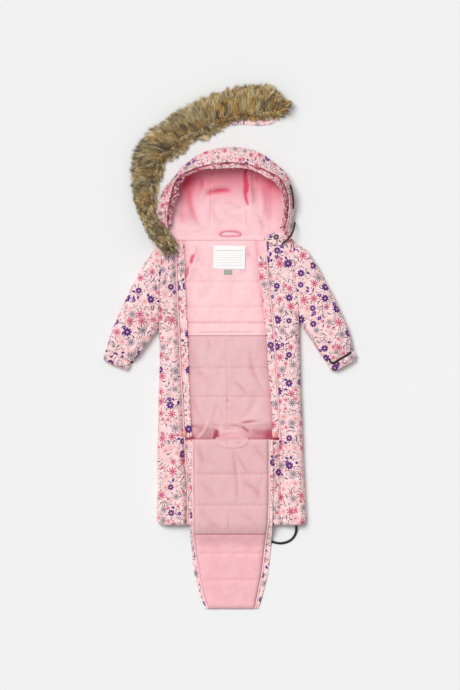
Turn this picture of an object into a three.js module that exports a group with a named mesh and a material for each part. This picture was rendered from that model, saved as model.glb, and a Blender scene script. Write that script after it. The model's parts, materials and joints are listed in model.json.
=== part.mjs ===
import * as THREE from 'three';

// A baby's padded snowsuit, laid on its back and opened. Millimetres, +Z up, +Y towards the hood,
// left and right as seen from above. While it is built, y is 0 at the leg hems and x is 0 on the
// centre line of the back; the last lines move the origin under the middle of the whole garment.

// Driving sizes
const GAP = 0.3; // between pieces that touch
const CLOTH = 2; // outer cloth
const SEAM_Z = 3.9; // height of the side seams
const NECK_Y = 715.6; // top edge of the back, at the neck seam
const CROTCH_Y = 212; // where the folded front panel hinges
const LINING_EDGE = 1.6; // lining at its seams
const LINING_PUFF = 7.4; // and the padding's rise inside them
const LINING_INSET = 8; // from the side edge to the lining's edge
const QUILT_DEPTH = 3.2;
const QUILT_REACH = 14;
const FRONT_TOP = 24.5; // top of the side fronts
const EDGE_ROUND = 16; // how far in the side edge rounds over
const ZIP_DIP = 8.5; // how far the fronts fall towards the zip
const ZIP_ROUND = 14;
const ZIP_HALF = 1.9; // half the width of a zip's coil
const FLAP_Z = 12.1; // underside of the wind flaps and zips
const FLAP_THICK = 2.4;
const LEG_GAP_X = 7.5; // inner edge of each leg from the centre line
const ARMPIT_Y = 492;
const SHOULDER_ROUND = 12;
const SHOULDER_ROWS = [709.6, 707, 702]; // where the shoulder seam's rounding needs rows

/** Rows of numbers as objects, from the column names and the numbers. */
function table(names, rows) {
  const keys = names.split(' ');
  return rows.map((row) => Object.fromEntries(keys.map((key, i) => [key, row[i]])));
}

// Across the body at each height: the side edges, the zip lines and the opening's edges
const BODY = table('y side1 zip1 open1 open2 zip2 side2', [
  [716, -168, -135, -113, 69, 91, 158],
  [658, -170, -132, -110, 72, 95, 163],
  [600, -172, -130, -110, 79, 100, 168],
  [548, -174, -128, -106, 85, 106, 172],
  [492, -176, -125, -104, 92, 111, 176],
  [458, -174, -124, -102, 94, 114, 177],
  [405, -173, -121, -101, 97, 117, 178],
  [362, -175, -119, -100, 101, 120, 179],
  [312, -177, -116, -98, 105, 123, 181],
  [262, -177, -114, -95, 108, 125, 183],
  [212, -179, -111, -91, 109, 128, 185],
  [162, -180, -108, -89, 110, 129, 186],
  [112, -178, -105, -88, 110, 130, 189],
  [62, -180, -103, -88, 110, 130, 191],
  [25, -181, -103, -88, 110, 130, 193],
  [0, -178, -103, -88, 110, 130, 192],
]);

// The folded front panel: its print edges and its lining's edges
const PANEL = table('y edge1 lining1 lining2 edge2', [
  [214, -99, -88, 98, 109],
  [125, -100, -88, 98, 110],
  [50, -99, -87, 98, 110],
  [2, -97, -87, 95, 108],
  [-23, -96, -86, 91, 107],
  [-70, -93, -81, 86, 103],
  [-120, -87, -73, 80, 97],
  [-162, -77, -65, 72, 87],
  [-188, -68, -58, 67, 80],
  [-209, -58, -51, 63, 73],
]);
const PANEL_TOP_Y = 214;
const PANEL_END_Y = -209;
const PANEL_LIE_Z = 24.9; // its outside rests on the legs here
const PANEL_DROP_Y = 8; // past this it drops to the floor
const PANEL_FLOOR_Y = -58;
const PANEL_SPLIT_Y = -23.5; // mesh lining above, pink lining below
const PANEL_QUILTS = [128, 50, -71, -138];
const MESH_QUILTS = [393, 321, 248];
const PINK_QUILTS = [608, 545, 506];
const WAIST_Y = 474; // hem of the upper lining

// Sleeves from armhole to gathers: the outer edge and the inner edge of each section
const SLEEVE_LEFT = table('ox oy ix iy', [
  [-168.6, 704, -176.6, 492],
  [-192, 682, -180, 486],
  [-210, 656, -185, 478],
  [-235, 612, -195, 466],
  [-258, 564, -205, 451],
  [-274, 528, -215, 438],
  [-292, 488, -227, 422],
  [-304, 448, -240, 411],
  [-302, 435, -245, 409],
]);
const SLEEVE_RIGHT = table('ox oy ix iy', [
  [159, 706, 176, 509],
  [191, 689, 180, 501],
  [207, 668, 185, 492],
  [227, 636, 193, 480],
  [245, 600, 202, 468],
  [262, 569, 211, 454],
  [278, 534, 221, 438],
  [297, 490, 232, 422],
  [307, 455, 245, 405],
  [309, 437, 250, 401],
]);
const CUFF_LEFT = table('ox oy ix iy', [
  [-303, 434, -246, 408],
  [-313, 424, -248, 398],
  [-313, 412, -254, 387],
]);
const CUFF_RIGHT = table('ox oy ix iy', [
  [310, 436, 250.5, 400],
  [318, 425, 253, 389],
  [317, 413, 264, 384],
]);
const SLIT = 3.4; // the flat hollow inside a sleeve
const CUFF_GATHERS = 8;

// Hood stations from the left neck corner round the top to the right one:
// widest outline, fold of the brim, edge of the lining, and the neck seam
const HOOD = table('ox oy bx by lx ly nx', [
  [-151, 721, -147, 724, -143, 729, -144],
  [-169, 750, -155, 752, -145, 755, -138],
  [-181, 782, -154, 788, -140, 787, -122],
  [-175, 810, -148, 816, -132, 814, -105],
  [-162, 841, -141, 848, -125, 841, -88],
  [-138, 871, -126, 872, -110, 868, -70],
  [-110, 901, -99, 888, -85, 882, -50],
  [-76, 924, -62, 900, -55, 890, -30],
  [-36, 939, -26, 906, -20, 891, -12],
  [6, 944, 6, 908, 14, 893, 6],
  [50, 939, 41, 904, 49, 890, 25],
  [90, 922, 79, 894, 81, 877, 42],
  [122, 898, 111, 880, 108, 860, 60],
  [144, 876, 132, 866, 126, 844, 78],
  [157, 844, 145, 841, 136, 822, 95],
  [162, 810, 152, 812, 138, 800, 112],
  [161, 775, 150, 776, 136, 773, 128],
  [158, 748, 145, 748, 130, 746, 140],
  [152, 721, 138, 725, 126, 728, 149],
]);
const HOOD_NECK_Y = 716.6;
const BRIM_LOW = 18; // height of the brim at the neck corners
const BRIM_RISE = 40; // and how much higher it stands at the top
const HOOD_INSET = 30; // from the outline in to where the hood meets the floor
const HOOD_PADDING = 4.5;

// Fur ruff from its held end round to its free end: outer and inner edge of each section,
// how far its backing shows inside it, and the height it lies at
const FUR = table('ox oy ix iy show base', [
  [-171, 692, -150, 685, 0, 25.2],
  [-194, 716, -146, 704, 0, 26],
  [-212, 739, -155, 731, 0, 24],
  [-226, 775, -181, 766, 0, 12],
  [-239, 815, -188, 800, 2, 2.5],
  [-244, 860, -188, 838, 3, 0],
  [-242, 910, -175, 890, 4, 0],
  [-229, 951, -158, 921, 3, 0],
  [-198, 989, -126, 940, 3, 0],
  [-151, 1026, -102, 965, 2, 0],
  [-108, 1052, -62, 978, 3, 0],
  [-58, 1074, -35, 995, 4, 0],
  [-18, 1088, -2, 1009, 10, 0],
  [22, 1098, 35, 1018, 17, 0],
  [62, 1102, 68, 1019, 20, 0],
  [98, 1099, 102, 1022, 20, 0],
  [130, 1075, 129, 1029, 14, 0],
  [152, 1055, 144, 1039, 2, 0],
]);
const FUR_HEIGHT = 34;
const FUR_TUFTS = 27;

// Materials
const PRINT = { color: 0xf3cdd2, roughness: 0.7 };
const PINK = { color: 0xfacbd0, roughness: 0.75 };
const ROSE = { color: 0xe3b0b5, roughness: 0.85 };
const PANEL_PINK = { color: 0xf4b6bf, roughness: 0.75 };
const FLEECE = { color: 0xf7bac4, roughness: 0.95 };
const ZIP = { color: 0xf3d3d6, roughness: 0.5 };
const ELASTIC = { color: 0x151416, roughness: 0.7 };
const FUR_BROWN = { color: 0x9c8160, roughness: 0.95 };
const LABEL = { color: 0xf7f7f5, roughness: 0.6 };
const TAG = { color: 0xa9b1a4, roughness: 0.7 };
const SNAP = { color: 0xa3a5a0, roughness: 0.4 };
const METAL = { color: 0x3a393b, roughness: 0.35, metalness: 0.8 };

const mix = (a, b, f) => a + (b - a) * f;
const clamp = (f) => Math.min(Math.max(f, 0), 1);
const ease = (f) => clamp(f) ** 2 * (3 - 2 * clamp(f));

/** A quarter circle's rise: 0 at the edge and 1 once d reaches r. */
const puff = (d, r) => Math.sqrt(1 - (1 - clamp(d / r)) ** 2);

/** Whole numbers' fractions of one, from 0 to 1. */
const steps = (n) => Array.from({ length: n + 1 }, (_, i) => i / n);

/** A column of a table at a height, straight between its rows. */
function across(rows, name, y) {
  const last = rows.length - 2;
  let i = rows.findIndex((row, k) => k <= last && y >= rows[k + 1].y);
  i = i < 0 ? last : i;
  const [a, b] = [rows[i], rows[i + 1]];
  return mix(a[name], b[name], clamp((a.y - y) / (a.y - b.y)));
}

/** A smooth row of a table, a fraction t of the way along it. */
function along(rows, t) {
  const s = clamp(t) * (rows.length - 1);
  const i = Math.min(Math.floor(s), rows.length - 2);
  const f = s - i;
  const p = [i - 1, i, i + 1, i + 2].map((k) => rows[Math.min(Math.max(k, 0), rows.length - 1)]);
  const weights = [
    (-f + 2 * f * f - f ** 3) / 2,
    (2 - 5 * f * f + 3 * f ** 3) / 2,
    (f + 4 * f * f - 3 * f ** 3) / 2,
    (f ** 3 - f * f) / 2,
  ];
  const names = Object.keys(rows[0]);
  return Object.fromEntries(names.map((n) => [n, p.reduce((sum, row, k) => sum + row[n] * weights[k], 0)]));
}

const garment = new THREE.Group();

/** Adds a named piece to the garment. */
function piece(name, geometry, look) {
  const mesh = new THREE.Mesh(geometry, new THREE.MeshStandardMaterial(look));
  mesh.name = name;
  garment.add(mesh);
  return mesh;
}

/** The closed solid between two grids of points; the columns of a ring close on themselves. */
function wall(outer, inner, ring = false) {
  const rows = outer.length;
  const cols = outer[0].length;
  const points = [...outer.flat(), ...inner.flat()];
  const at = (side, r, c) => (side * rows + r) * cols + (c % cols);
  const faces = [];
  const quad = (a, b, c, d) => faces.push(a, b, c, a, c, d);
  const last = ring ? cols : cols - 1;
  for (let c = 0; c < last; c++) {
    for (let r = 0; r < rows - 1; r++) {
      quad(at(0, r, c), at(0, r, c + 1), at(0, r + 1, c + 1), at(0, r + 1, c));
      quad(at(1, r, c), at(1, r + 1, c), at(1, r + 1, c + 1), at(1, r, c + 1));
    }
    quad(at(0, 0, c), at(1, 0, c), at(1, 0, c + 1), at(0, 0, c + 1));
    quad(at(0, rows - 1, c), at(0, rows - 1, c + 1), at(1, rows - 1, c + 1), at(1, rows - 1, c));
  }
  for (let r = 0; r < rows - 1 && !ring; r++) {
    quad(at(0, r, 0), at(0, r + 1, 0), at(1, r + 1, 0), at(1, r, 0));
    quad(at(0, r, last), at(1, r, last), at(1, r + 1, last), at(0, r + 1, last));
  }
  let volume = 0;
  for (let i = 0; i < faces.length; i += 3) {
    const [a, b, c] = [points[faces[i]], points[faces[i + 1]], points[faces[i + 2]]];
    volume += a.dot(b.clone().cross(c));
  }
  const geometry = new THREE.BufferGeometry().setFromPoints(points);
  geometry.setIndex(volume < 0 ? faces.reverse() : faces);
  geometry.computeVertexNormals();
  return geometry;
}

/** A sheet in plan: place(u, v) gives x and y, and bottom and top give the heights there. */
function slab(us, vs, place, bottom, top) {
  const grid = (height) => vs.map((v) => us.map((u) => {
    const [x, y] = place(u, v);
    return new THREE.Vector3(x, y, height(x, y));
  }));
  return wall(grid(top), grid(bottom));
}

/** Places for a sheet between two edges that change with height: u is [fraction, offset in mm]. */
const between = (left, right) => ([f, d], y) => [mix(left(y), right(y), f) + d, y];

/** Columns close together at both edges, where a sheet rounds over. */
function columns(left, middle, right) {
  return [...left.map((d) => [0, d]), ...middle.map((f) => [f, 0]), ...right.map((d) => [1, -d])];
}

/** Rows for a quilted sheet: its ends, and three rows at each stitched line. */
function quiltRows(top, end, lines) {
  const edges = [top, ...lines, end];
  const rows = edges.slice(0, -1).flatMap((y, i) => {
    const far = edges[i + 1];
    return [y, y - QUILT_REACH * 0.4, mix(y, far, 0.5), far + QUILT_REACH * 0.4];
  });
  return [...rows, end];
}

/** 1 away from the stitched lines, falling to 0 on them. */
const quilting = (lines, y) => Math.min(1, ...lines.map((line) => puff(Math.abs(y - line), QUILT_REACH)));

const sideEdge = (side) => (y) => across(BODY, side < 0 ? 'side1' : 'side2', y);
const zipLine = (side) => (y) => across(BODY, side < 0 ? 'zip1' : 'zip2', y);
const openEdge = (side) => (y) => across(BODY, side < 0 ? 'open1' : 'open2', y);

/** How far a point lies inside the side edge that is nearer to it. */
const inFromSide = (x, y) => Math.min(x - sideEdge(-1)(y), sideEdge(1)(y) - x);

/** 1 beside the armhole, where the body goes on into the sleeve, and 0 below the armpit. */
const armhole = (y) => ease((y - ARMPIT_Y) / 26);

/** The rounding of the inside, from the side seam, the shoulder seam and the inner leg. */
function insideRound(x, y) {
  const side = mix(puff(inFromSide(x, y) - LINING_INSET + 2, ZIP_ROUND), 1, armhole(y));
  const leg = y <= CROTCH_Y ? puff(Math.abs(x) - LEG_GAP_X - 6, ZIP_ROUND) : 1;
  return side * puff(NECK_Y - y - 6, ZIP_ROUND) * leg;
}

/** Top of the padded back lining, before its quilting. */
const liningTop = (x, y) => CLOTH + GAP + LINING_EDGE + LINING_PUFF * insideRound(x, y);

/** Underside of the fronts: it follows the back lining. */
const frontBottom = (x, y) => liningTop(x, y) + GAP + 0.3 * insideRound(x, y);

/** Top of the side fronts, rounding over at the side, the shoulder and the zip. */
function frontTop(side, x, y) {
  const outer = mix(puff(inFromSide(x, y), EDGE_ROUND), 1, armhole(y)) * puff(NECK_Y - y, SHOULDER_ROUND);
  const zip = 1 - puff(Math.abs(x - zipLine(side)(y)) - ZIP_HALF, ZIP_ROUND);
  const hem = 1 - puff(y, 10);
  const low = SEAM_Z + GAP + CLOTH;
  const top = mix(low, FRONT_TOP, outer) - ZIP_DIP * zip - 5 * hem;
  return Math.max(top, frontBottom(x, y) + CLOTH);
}

/** The back of the body, flat on the floor, its side seams standing up a little. */
function addBack() {
  const seam = (x, y) => mix(CLOTH, SEAM_Z, clamp((LINING_INSET - 0.5 - inFromSide(x, y)) / 3));
  const us = columns([0, 4.5, 7.5], [0.15, 0.5, 0.85], [7.5, 4.5, 0]);
  const vs = [NECK_Y, 658, 600, 548, 492, 458, 405, 362, 312, 262, CROTCH_Y + GAP];
  piece('back_body', slab(us, vs, between(sideEdge(-1), sideEdge(1)), () => 0, seam), PRINT);
  for (const [name, side] of [['leg_back_left', -1], ['leg_back_right', 1]]) {
    const inner = () => side * LEG_GAP_X;
    const edges = side < 0 ? [sideEdge(-1), inner] : [inner, sideEdge(1)];
    const top = (x, y) => SEAM_Z + 4.6 * insideRound(x, y);
    const legColumns = columns([0, 6, 9, 13], [0.3, 0.5, 0.7], [13, 9, 6, 0]);
    const legRows = [CROTCH_Y, 196, 162, 112, 62, 25, 0];
    piece(name, slab(legColumns, legRows, between(...edges), () => 0, top), PRINT);
  }
}

/** The quilted linings of the back. */
function addLinings() {
  const left = (y) => sideEdge(-1)(y) + LINING_INSET;
  const right = (y) => sideEdge(1)(y) - LINING_INSET;
  const us = columns([0, 4, 12], [0.3, 0.5, 0.7], [12, 4, 0]);
  const bottom = () => CLOTH + GAP;
  const dip = (lines, x, y) => QUILT_DEPTH * insideRound(x, y) * (1 - quilting(lines, y));
  const quilted = (lines) => (x, y) => liningTop(x, y) - dip(lines, x, y);
  const upperRows = [NECK_Y - 0.6, ...SHOULDER_ROWS, ...quiltRows(660, WAIST_Y, PINK_QUILTS)];
  piece('back_lining_upper', slab(us, upperRows, between(left, right), bottom, quilted(PINK_QUILTS)), PINK);
  const lowerRows = quiltRows(WAIST_Y - GAP, CROTCH_Y + GAP, MESH_QUILTS);
  const lowerTop = (x, y) => quilted(MESH_QUILTS)(x, y) - 1.2 * ease((y - WAIST_Y + 30) / 30);
  piece('back_lining_lower', slab(us, lowerRows, between(left, right), bottom, lowerTop), ROSE);
}

/** The fronts beside the zips, the wind flaps inside them and the inner fronts of the legs. */
function addFronts() {
  const rows = [NECK_Y, 713.5, ...SHOULDER_ROWS, 658, 600, 548, 518, 504, 492, 458, 405, 362, 312, 262, 216,
    206, 196, 162, 112, 62, 25, 9, 4, 0];
  for (const [name, side] of [['left', -1], ['right', 1]]) {
    const beside = (y) => zipLine(side)(y) + side * ZIP_HALF + side * GAP;
    const seam = (y) => (side < 0 ? beside(y) : mix(101, beside(y), ease((y - 198) / 8)));
    const edges = side < 0 ? [sideEdge(-1), seam] : [seam, sideEdge(1)];
    const [outer, inner] = [[0, 1.5, 4.5, 9, 14], [0, 3, 7, 12]];
    const left = side < 0 ? outer : inner;
    const right = side < 0 ? inner : outer;
    const us = columns(left, [0.6], right.slice().reverse());
    const top = (x, y) => frontTop(side, x, y);
    piece(`front_${name}`, slab(us, rows, between(...edges), frontBottom, top), PRINT);

    const flapEnd = side < 0 ? 702 : 671;
    const flapRows = [flapEnd, ...rows.filter((y) => y < flapEnd - 4 && y > 300), 262, 219];
    const [near, far] = [(y) => zipLine(side)(y) - side * (ZIP_HALF + GAP), openEdge(side)];
    const flapEdges = side < 0 ? [near, far] : [far, near];
    const flapTop = () => FLAP_Z + FLAP_THICK;
    const flap = slab(columns([0, 2], [0.5], [2, 0]), flapRows, between(...flapEdges), () => FLAP_Z, flapTop);
    piece(`facing_${name}`, flap, PRINT);

    const zipRows = rows.filter((y) => y < flapEnd + 4 && y > (side < 0 ? 1 : 210));
    const zipEdges = [(y) => zipLine(side)(y) - ZIP_HALF, (y) => zipLine(side)(y) + ZIP_HALF];
    const coil = (x, y) => FLAP_Z + 4.2 - 1.4 * Math.abs(x - zipLine(side)(y)) / ZIP_HALF;
    piece(`zip_${name}`, slab(columns([0], [0.5], [0]), zipRows, between(...zipEdges), () => FLAP_Z, coil), ZIP);

    const legSeam = side < 0 ? (y) => zipLine(side)(y) + ZIP_HALF + GAP : () => 101 - GAP;
    const legEdges = side < 0 ? [legSeam, () => -LEG_GAP_X] : [() => LEG_GAP_X, legSeam];
    const legRound = (x) => puff(Math.abs(x) - LEG_GAP_X, EDGE_ROUND);
    const legTop = (x, y) => Math.min(frontTop(side, x, y), mix(SEAM_Z + GAP + CLOTH, FRONT_TOP, legRound(x)));
    const safeTop = (x, y) => Math.max(legTop(x, y), frontBottom(x, y) + CLOTH);
    const legRows = [CROTCH_Y - 1, 196, 162, 112, 62, 25, 9, 4, 0];
    const legUs = columns([0, 3, 8, 14], [0.5], [14, 8, 3, 0]);
    piece(`leg_front_${name}`, slab(legUs, legRows, between(...legEdges), frontBottom, safeTop), PRINT);
  }
}

/** Underside of the folded panel: on the legs, then down past the hems to the floor. */
const panelBottom = (x, y) => PANEL_LIE_Z * ease((y - PANEL_FLOOR_Y) / (PANEL_DROP_Y - PANEL_FLOOR_Y));

/** Top of the panel's quilted lining. */
function panelTop(lines, x, y) {
  const side = Math.min(x - across(PANEL, 'lining1', y), across(PANEL, 'lining2', y) - x);
  const round = puff(side, 12) * puff(PANEL_TOP_Y - y, 12) * puff(y - PANEL_END_Y, 12);
  const quilt = 1 - (QUILT_DEPTH / LINING_PUFF) * (1 - quilting(lines, y));
  return panelBottom(x, y) + CLOTH + GAP + LINING_EDGE + (LINING_PUFF - 0.6) * round * quilt;
}

/** The centre front, folded down from the crotch so that its quilted inside shows. */
function addPanel() {
  const edge = (name) => (y) => across(PANEL, name, y);
  const drop = [25, 8, -3, -12, -23.5, -34, -46, -58];
  const rows = [PANEL_TOP_Y, 162, 112, 62, ...drop, -90, -120, -150, -175, -195, PANEL_END_Y];
  const shellTop = (x, y) => panelBottom(x, y) + CLOTH;
  const flat = columns([0, 8], [0.35, 0.65], [8, 0]);
  piece('panel_shell', slab(flat, rows, between(edge('edge1'), edge('edge2')), panelBottom, shellTop), PRINT);

  const us = columns([0, 3, 9], [0.35, 0.65], [9, 3, 0]);
  const under = (x, y) => shellTop(x, y) + GAP;
  const sides = between(edge('lining1'), edge('lining2'));
  const meshRows = [...quiltRows(PANEL_TOP_Y, 30, PANEL_QUILTS.slice(0, 2)), 16, 8, 0, -10, PANEL_SPLIT_Y];
  meshRows.splice(1, 0, PANEL_TOP_Y - 2);
  const meshTop = (x, y) => panelTop([...PANEL_QUILTS, PANEL_SPLIT_Y], x, y);
  piece('panel_lining_mesh', slab(us, meshRows, sides, under, meshTop), ROSE);
  const pinkRows = [PANEL_SPLIT_Y - GAP, -30, -38, -48, -58, -65, ...quiltRows(-71, PANEL_END_Y, [-138])];
  piece('panel_lining_pink', slab(us, pinkRows, sides, under, meshTop), PANEL_PINK);

  const tape = [['panel_zip_left', 'edge1', 'lining1', 1], ['panel_zip_right', 'edge2', 'lining2', -1]];
  for (const [name, outer, inner, way] of tape) {
    const near = (y) => edge(inner)(y) - way * 3 * GAP;
    const far = (y) => near(y) - way * Math.min(2 * ZIP_HALF, 0.6 * Math.abs(edge(outer)(y) - near(y)));
    const edges = way > 0 ? [far, near] : [near, far];
    const top = (x, y) => under(x, y) + 1.6;
    piece(name, slab(columns([0], [], [0]), rows, between(...edges), under, top), ZIP);
  }
}

/** The crotch gusset, from the back lining up over the panel's hinge. */
function addGusset() {
  const arch = (u) => Math.sqrt(Math.max(1 - (2 * u - 1) ** 2, 0));
  const place = (u, v) => {
    const x = mix(-34, 48, u);
    return [x, mix(217 + 6 * arch(u), 206 - 15 * arch(u), v)];
  };
  const bottom = (x, y) => 36.9 - 24.6 * ease((y - 209.5) / 13.5);
  const top = (x, y) => bottom(x, y) + 2.5;
  piece('crotch_gusset', slab(steps(8), [0, 0.12, 0.24, 0.36, 0.48, 0.6, 0.8, 1], place, bottom, top), ROSE);
}

/** A flattened sleeve section: a flat underside, a rounded top and a slit for the hollow. */
function sleeveRings(rows, t, height, lift, sides, gather) {
  const { ox, oy, ix, iy } = along(rows, t);
  const half = Math.hypot(ix - ox, iy - oy) / 2;
  const [cx, cy] = [(ox + ix) / 2, (oy + iy) / 2];
  const [dx, dy] = [(ix - ox) / 2 / half, (iy - oy) / 2 / half];
  const level = 0.34 * height;
  const low = 0.33 * height + lift / 2;
  const ring = [[], []];
  for (let k = 0; k < sides; k++) {
    const angle = (2 * Math.PI * k) / sides;
    const [c, s] = [Math.cos(angle), Math.sin(angle)];
    const wave = gather * Math.cos(CUFF_GATHERS * angle);
    const away = Math.sign(c) * Math.abs(c) ** 0.6;
    const over = (height - level) * Math.abs(s) ** 0.75 + wave * s;
    const below = Math.min(1.3 * level * Math.abs(s) ** 0.75, level - lift);
    const up = s > 0 ? over : -below;
    const inside = away * (half - Math.min(9, 0.3 * half));
    ring[0].push(new THREE.Vector3(cx + dx * away * half, cy + dy * away * half, level + up));
    ring[1].push(new THREE.Vector3(cx + dx * inside, cy + dy * inside, low + SLIT / 2 + (SLIT / 2) * s));
  }
  return ring;
}

/** Both sleeves, their gathered cuffs and the lining that shows at the cuffs' ends. */
function addSleeves() {
  const pair = [['left', SLEEVE_LEFT, CUFF_LEFT], ['right', SLEEVE_RIGHT, CUFF_RIGHT]];
  for (const [name, sleeve, cuff] of pair) {
    const sections = steps(11).map((t) => {
      const height = FRONT_TOP + 3 * Math.sin(Math.PI * t) - 5 * ease((t - 0.8) / 0.2);
      return sleeveRings(sleeve, t, height, 2.3 * ease((t - 0.8) / 0.1), 20, 0);
    });
    piece(`sleeve_${name}`, wall(sections.map((s) => s[0]), sections.map((s) => s[1]), true), PRINT);

    const bands = steps(4).map((t) => {
      const height = 18 + 3.5 * Math.sin(Math.PI * t) - 2 * t;
      return sleeveRings(cuff, t, height, 2.3 * ease((0.7 - t) / 0.35), 32, 0.9 * (1 - 0.4 * t));
    });
    piece(`cuff_${name}`, wall(bands.map((s) => s[0]), bands.map((s) => s[1]), true), PRINT);

    const end = along(cuff, 1);
    const start = along(cuff, 0.75);
    const place = (u, v) => {
      const f = mix(0.26, 0.74, u);
      const back = [mix(start.ox, start.ix, f), mix(start.oy, start.iy, f)];
      const front = [mix(end.ox, end.ix, f), mix(end.oy, end.iy, f)];
      const reach = mix(0, 1.45, v);
      return [mix(back[0], front[0], reach), mix(back[1], front[1], reach)];
    };
    const low = 6.7;
    piece(`cuff_lining_${name}`, slab(steps(4), steps(2), place, () => low, () => low + 1.5), ROSE);
  }
}

/** A point of the hood's outside: v is 0 at the neck seam, on the floor, and 1 at the brim's fold. */
function hoodPoint(t, v) {
  const { ox, oy, bx, by, nx } = along(HOOD, t);
  const brim = BRIM_LOW + BRIM_RISE * Math.sin(Math.PI * clamp(t));
  const far = Math.hypot(ox - nx, oy - HOOD_NECK_Y);
  const foot = 1 - Math.min(HOOD_INSET / far, 0.45);
  const side = 1 - Math.min(8 / far, 0.15);
  const line = table('x y z', [
    [nx, HOOD_NECK_Y, 0],
    [mix(nx, ox, foot * 0.33), mix(HOOD_NECK_Y, oy, foot * 0.33), 0],
    [mix(nx, ox, foot * 0.67), mix(HOOD_NECK_Y, oy, foot * 0.67), 0],
    [mix(nx, ox, foot), mix(HOOD_NECK_Y, oy, foot), 0],
    [mix(nx, ox, side), mix(HOOD_NECK_Y, oy, side), 0.17 * brim],
    [ox, oy, 0.5 * brim],
    [bx, by, brim],
  ]);
  const { x, y, z } = along(line, v);
  return new THREE.Vector3(x, y, Math.max(z, 0));
}

/** The hood's outside moved in towards the bowl by some millimetres. */
function hoodInside(t, v, depth) {
  const e = 0.004;
  const spot = hoodPoint(t, v);
  const round = hoodPoint(Math.min(t + e, 1), v).sub(hoodPoint(Math.max(t - e, 0), v));
  const up = hoodPoint(t, Math.min(v + e, 1)).sub(hoodPoint(t, Math.max(v - e, 0)));
  return spot.addScaledVector(round.cross(up).normalize(), depth);
}

/** The hood: its padded outside, the facing inside the brim and the fleece lining. */
function addHood() {
  const ts = steps(24);
  const vs = [0, 0.25, 0.45, 0.55, 0.62, 0.7, 0.78, 0.86, 0.93, 1];
  const skin = (depth, places, list) => list.map((v) => places.map((t) => hoodInside(t, v, depth)));
  piece('hood_shell', wall(skin(0, ts, vs), skin(CLOTH, ts, vs)), PRINT);

  const inner = ts.slice(1, -1);
  const low = vs.slice(0, -2);
  const lining = wall(skin(CLOTH + 0.45, inner, low), skin(CLOTH + 0.45 + HOOD_PADDING, inner, low));
  piece('hood_lining', lining, FLEECE);

  const facing = (drop) => [0, 0.35, 0.7, 1].map((f) => inner.map((t) => {
    const { lx, ly } = along(HOOD, t);
    const fold = hoodInside(t, 1, CLOTH + 0.9);
    const spread = Math.hypot(lx - fold.x, ly - fold.y);
    return new THREE.Vector3(mix(fold.x, lx, f), mix(fold.y, ly, f), fold.z + 1 - 0.3 * spread * f - drop);
  }));
  piece('hood_facing', wall(facing(0), facing(CLOTH)), PRINT);
}

/** The chin corner of the hood over the right shoulder, with its eyelet. */
function addTab() {
  const edges = table('x low high', [
    [90, 713, 719],
    [100, 706, 726],
    [112, 701, 730],
    [126, 699, 731],
    [138, 702, 727],
    [147, 710, 719],
  ]);
  const place = (u, v) => {
    const { x, low, high } = along(edges, u);
    return [x, mix(low, high, v)];
  };
  const bottom = FRONT_TOP + 0.5;
  const tabTop = (x, y) => bottom + 3 + Math.sin(((x - 90) / 57) * Math.PI);
  piece('hood_tab', slab(steps(10), steps(5), place, () => bottom, tabTop), PRINT);
  const ring = [[3, 0], [6.2, 0], [6.2, 1.2], [5, 2], [3.8, 2], [3, 1.2], [3, 0]];
  const profile = ring.map(([x, y]) => new THREE.Vector2(x, y));
  const eyelet = piece('eyelet', new THREE.LatheGeometry(profile, 20), METAL);
  eyelet.rotation.x = Math.PI / 2;
  eyelet.position.set(118, 720, bottom + 4 + GAP);
}

/** The neck tape, the hanging loop, the care label and the size tag. */
function addLabels() {
  const box = (x1, x2, y1, y2) => (u, v) => [mix(x1, x2, u), mix(y1, y2, v)];
  const onHood = CLOTH + 0.45 + HOOD_PADDING + GAP;
  const tape = slab(steps(6), steps(2), box(-136, 88, 722, 711.5), () => onHood, () => onHood + 1.6);
  piece('neck_tape', tape, PINK);

  const loop = new THREE.CatmullRomCurve3([
    new THREE.Vector3(-22, 724, 0),
    new THREE.Vector3(-20, 731, 0),
    new THREE.Vector3(-11, 735, 0),
    new THREE.Vector3(4, 735.5, 0),
    new THREE.Vector3(18, 734.5, 0),
    new THREE.Vector3(26, 730, 0),
    new THREE.Vector3(28, 724, 0),
  ]);
  piece('hang_loop', ribbon(loop, 24, 5, 1.8, () => onHood + 0.2), PANEL_PINK);

  const labelZ = CLOTH + GAP + LINING_EDGE + LINING_PUFF + GAP;
  const turn = Math.tan((1.2 * Math.PI) / 180);
  const label = (u, v) => {
    const [x, y] = box(-39, 40, 698, 640)(u, v);
    return [x + (y - 669) * turn, y - x * turn];
  };
  piece('name_label', slab(steps(4), steps(3), label, () => labelZ, () => labelZ + 0.9), LABEL);
  piece('size_tag', slab(steps(2), steps(2), box(-12, 7, 638, 626), () => labelZ, () => labelZ + 0.8), TAG);
}

/** A flat band along a curve seen in plan, its underside at the height that under gives. */
function ribbon(curve, count, width, thick, under) {
  const [top, bottom] = [[], []];
  for (const t of steps(count)) {
    const spot = curve.getPointAt(t);
    const way = curve.getTangentAt(t);
    const side = new THREE.Vector3(-way.y, way.x, 0).normalize();
    const row = [-1, 1].map((s) => spot.clone().addScaledVector(side, (s * width) / 2));
    const z = under(spot, side);
    bottom.push(row.map((p) => p.clone().setZ(z)));
    top.push(row.map((p) => p.clone().setZ(z + thick)));
  }
  return wall(top, bottom);
}

/** Height of the highest of some pieces at a place in plan, or the floor. */
function topAt(names, x, y) {
  const ray = new THREE.Raycaster(new THREE.Vector3(x, y, 500), new THREE.Vector3(0, 0, -1));
  const hits = ray.intersectObjects(garment.children.filter((mesh) => names.includes(mesh.name)));
  return hits.length ? hits[0].point.z : 0;
}

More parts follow.
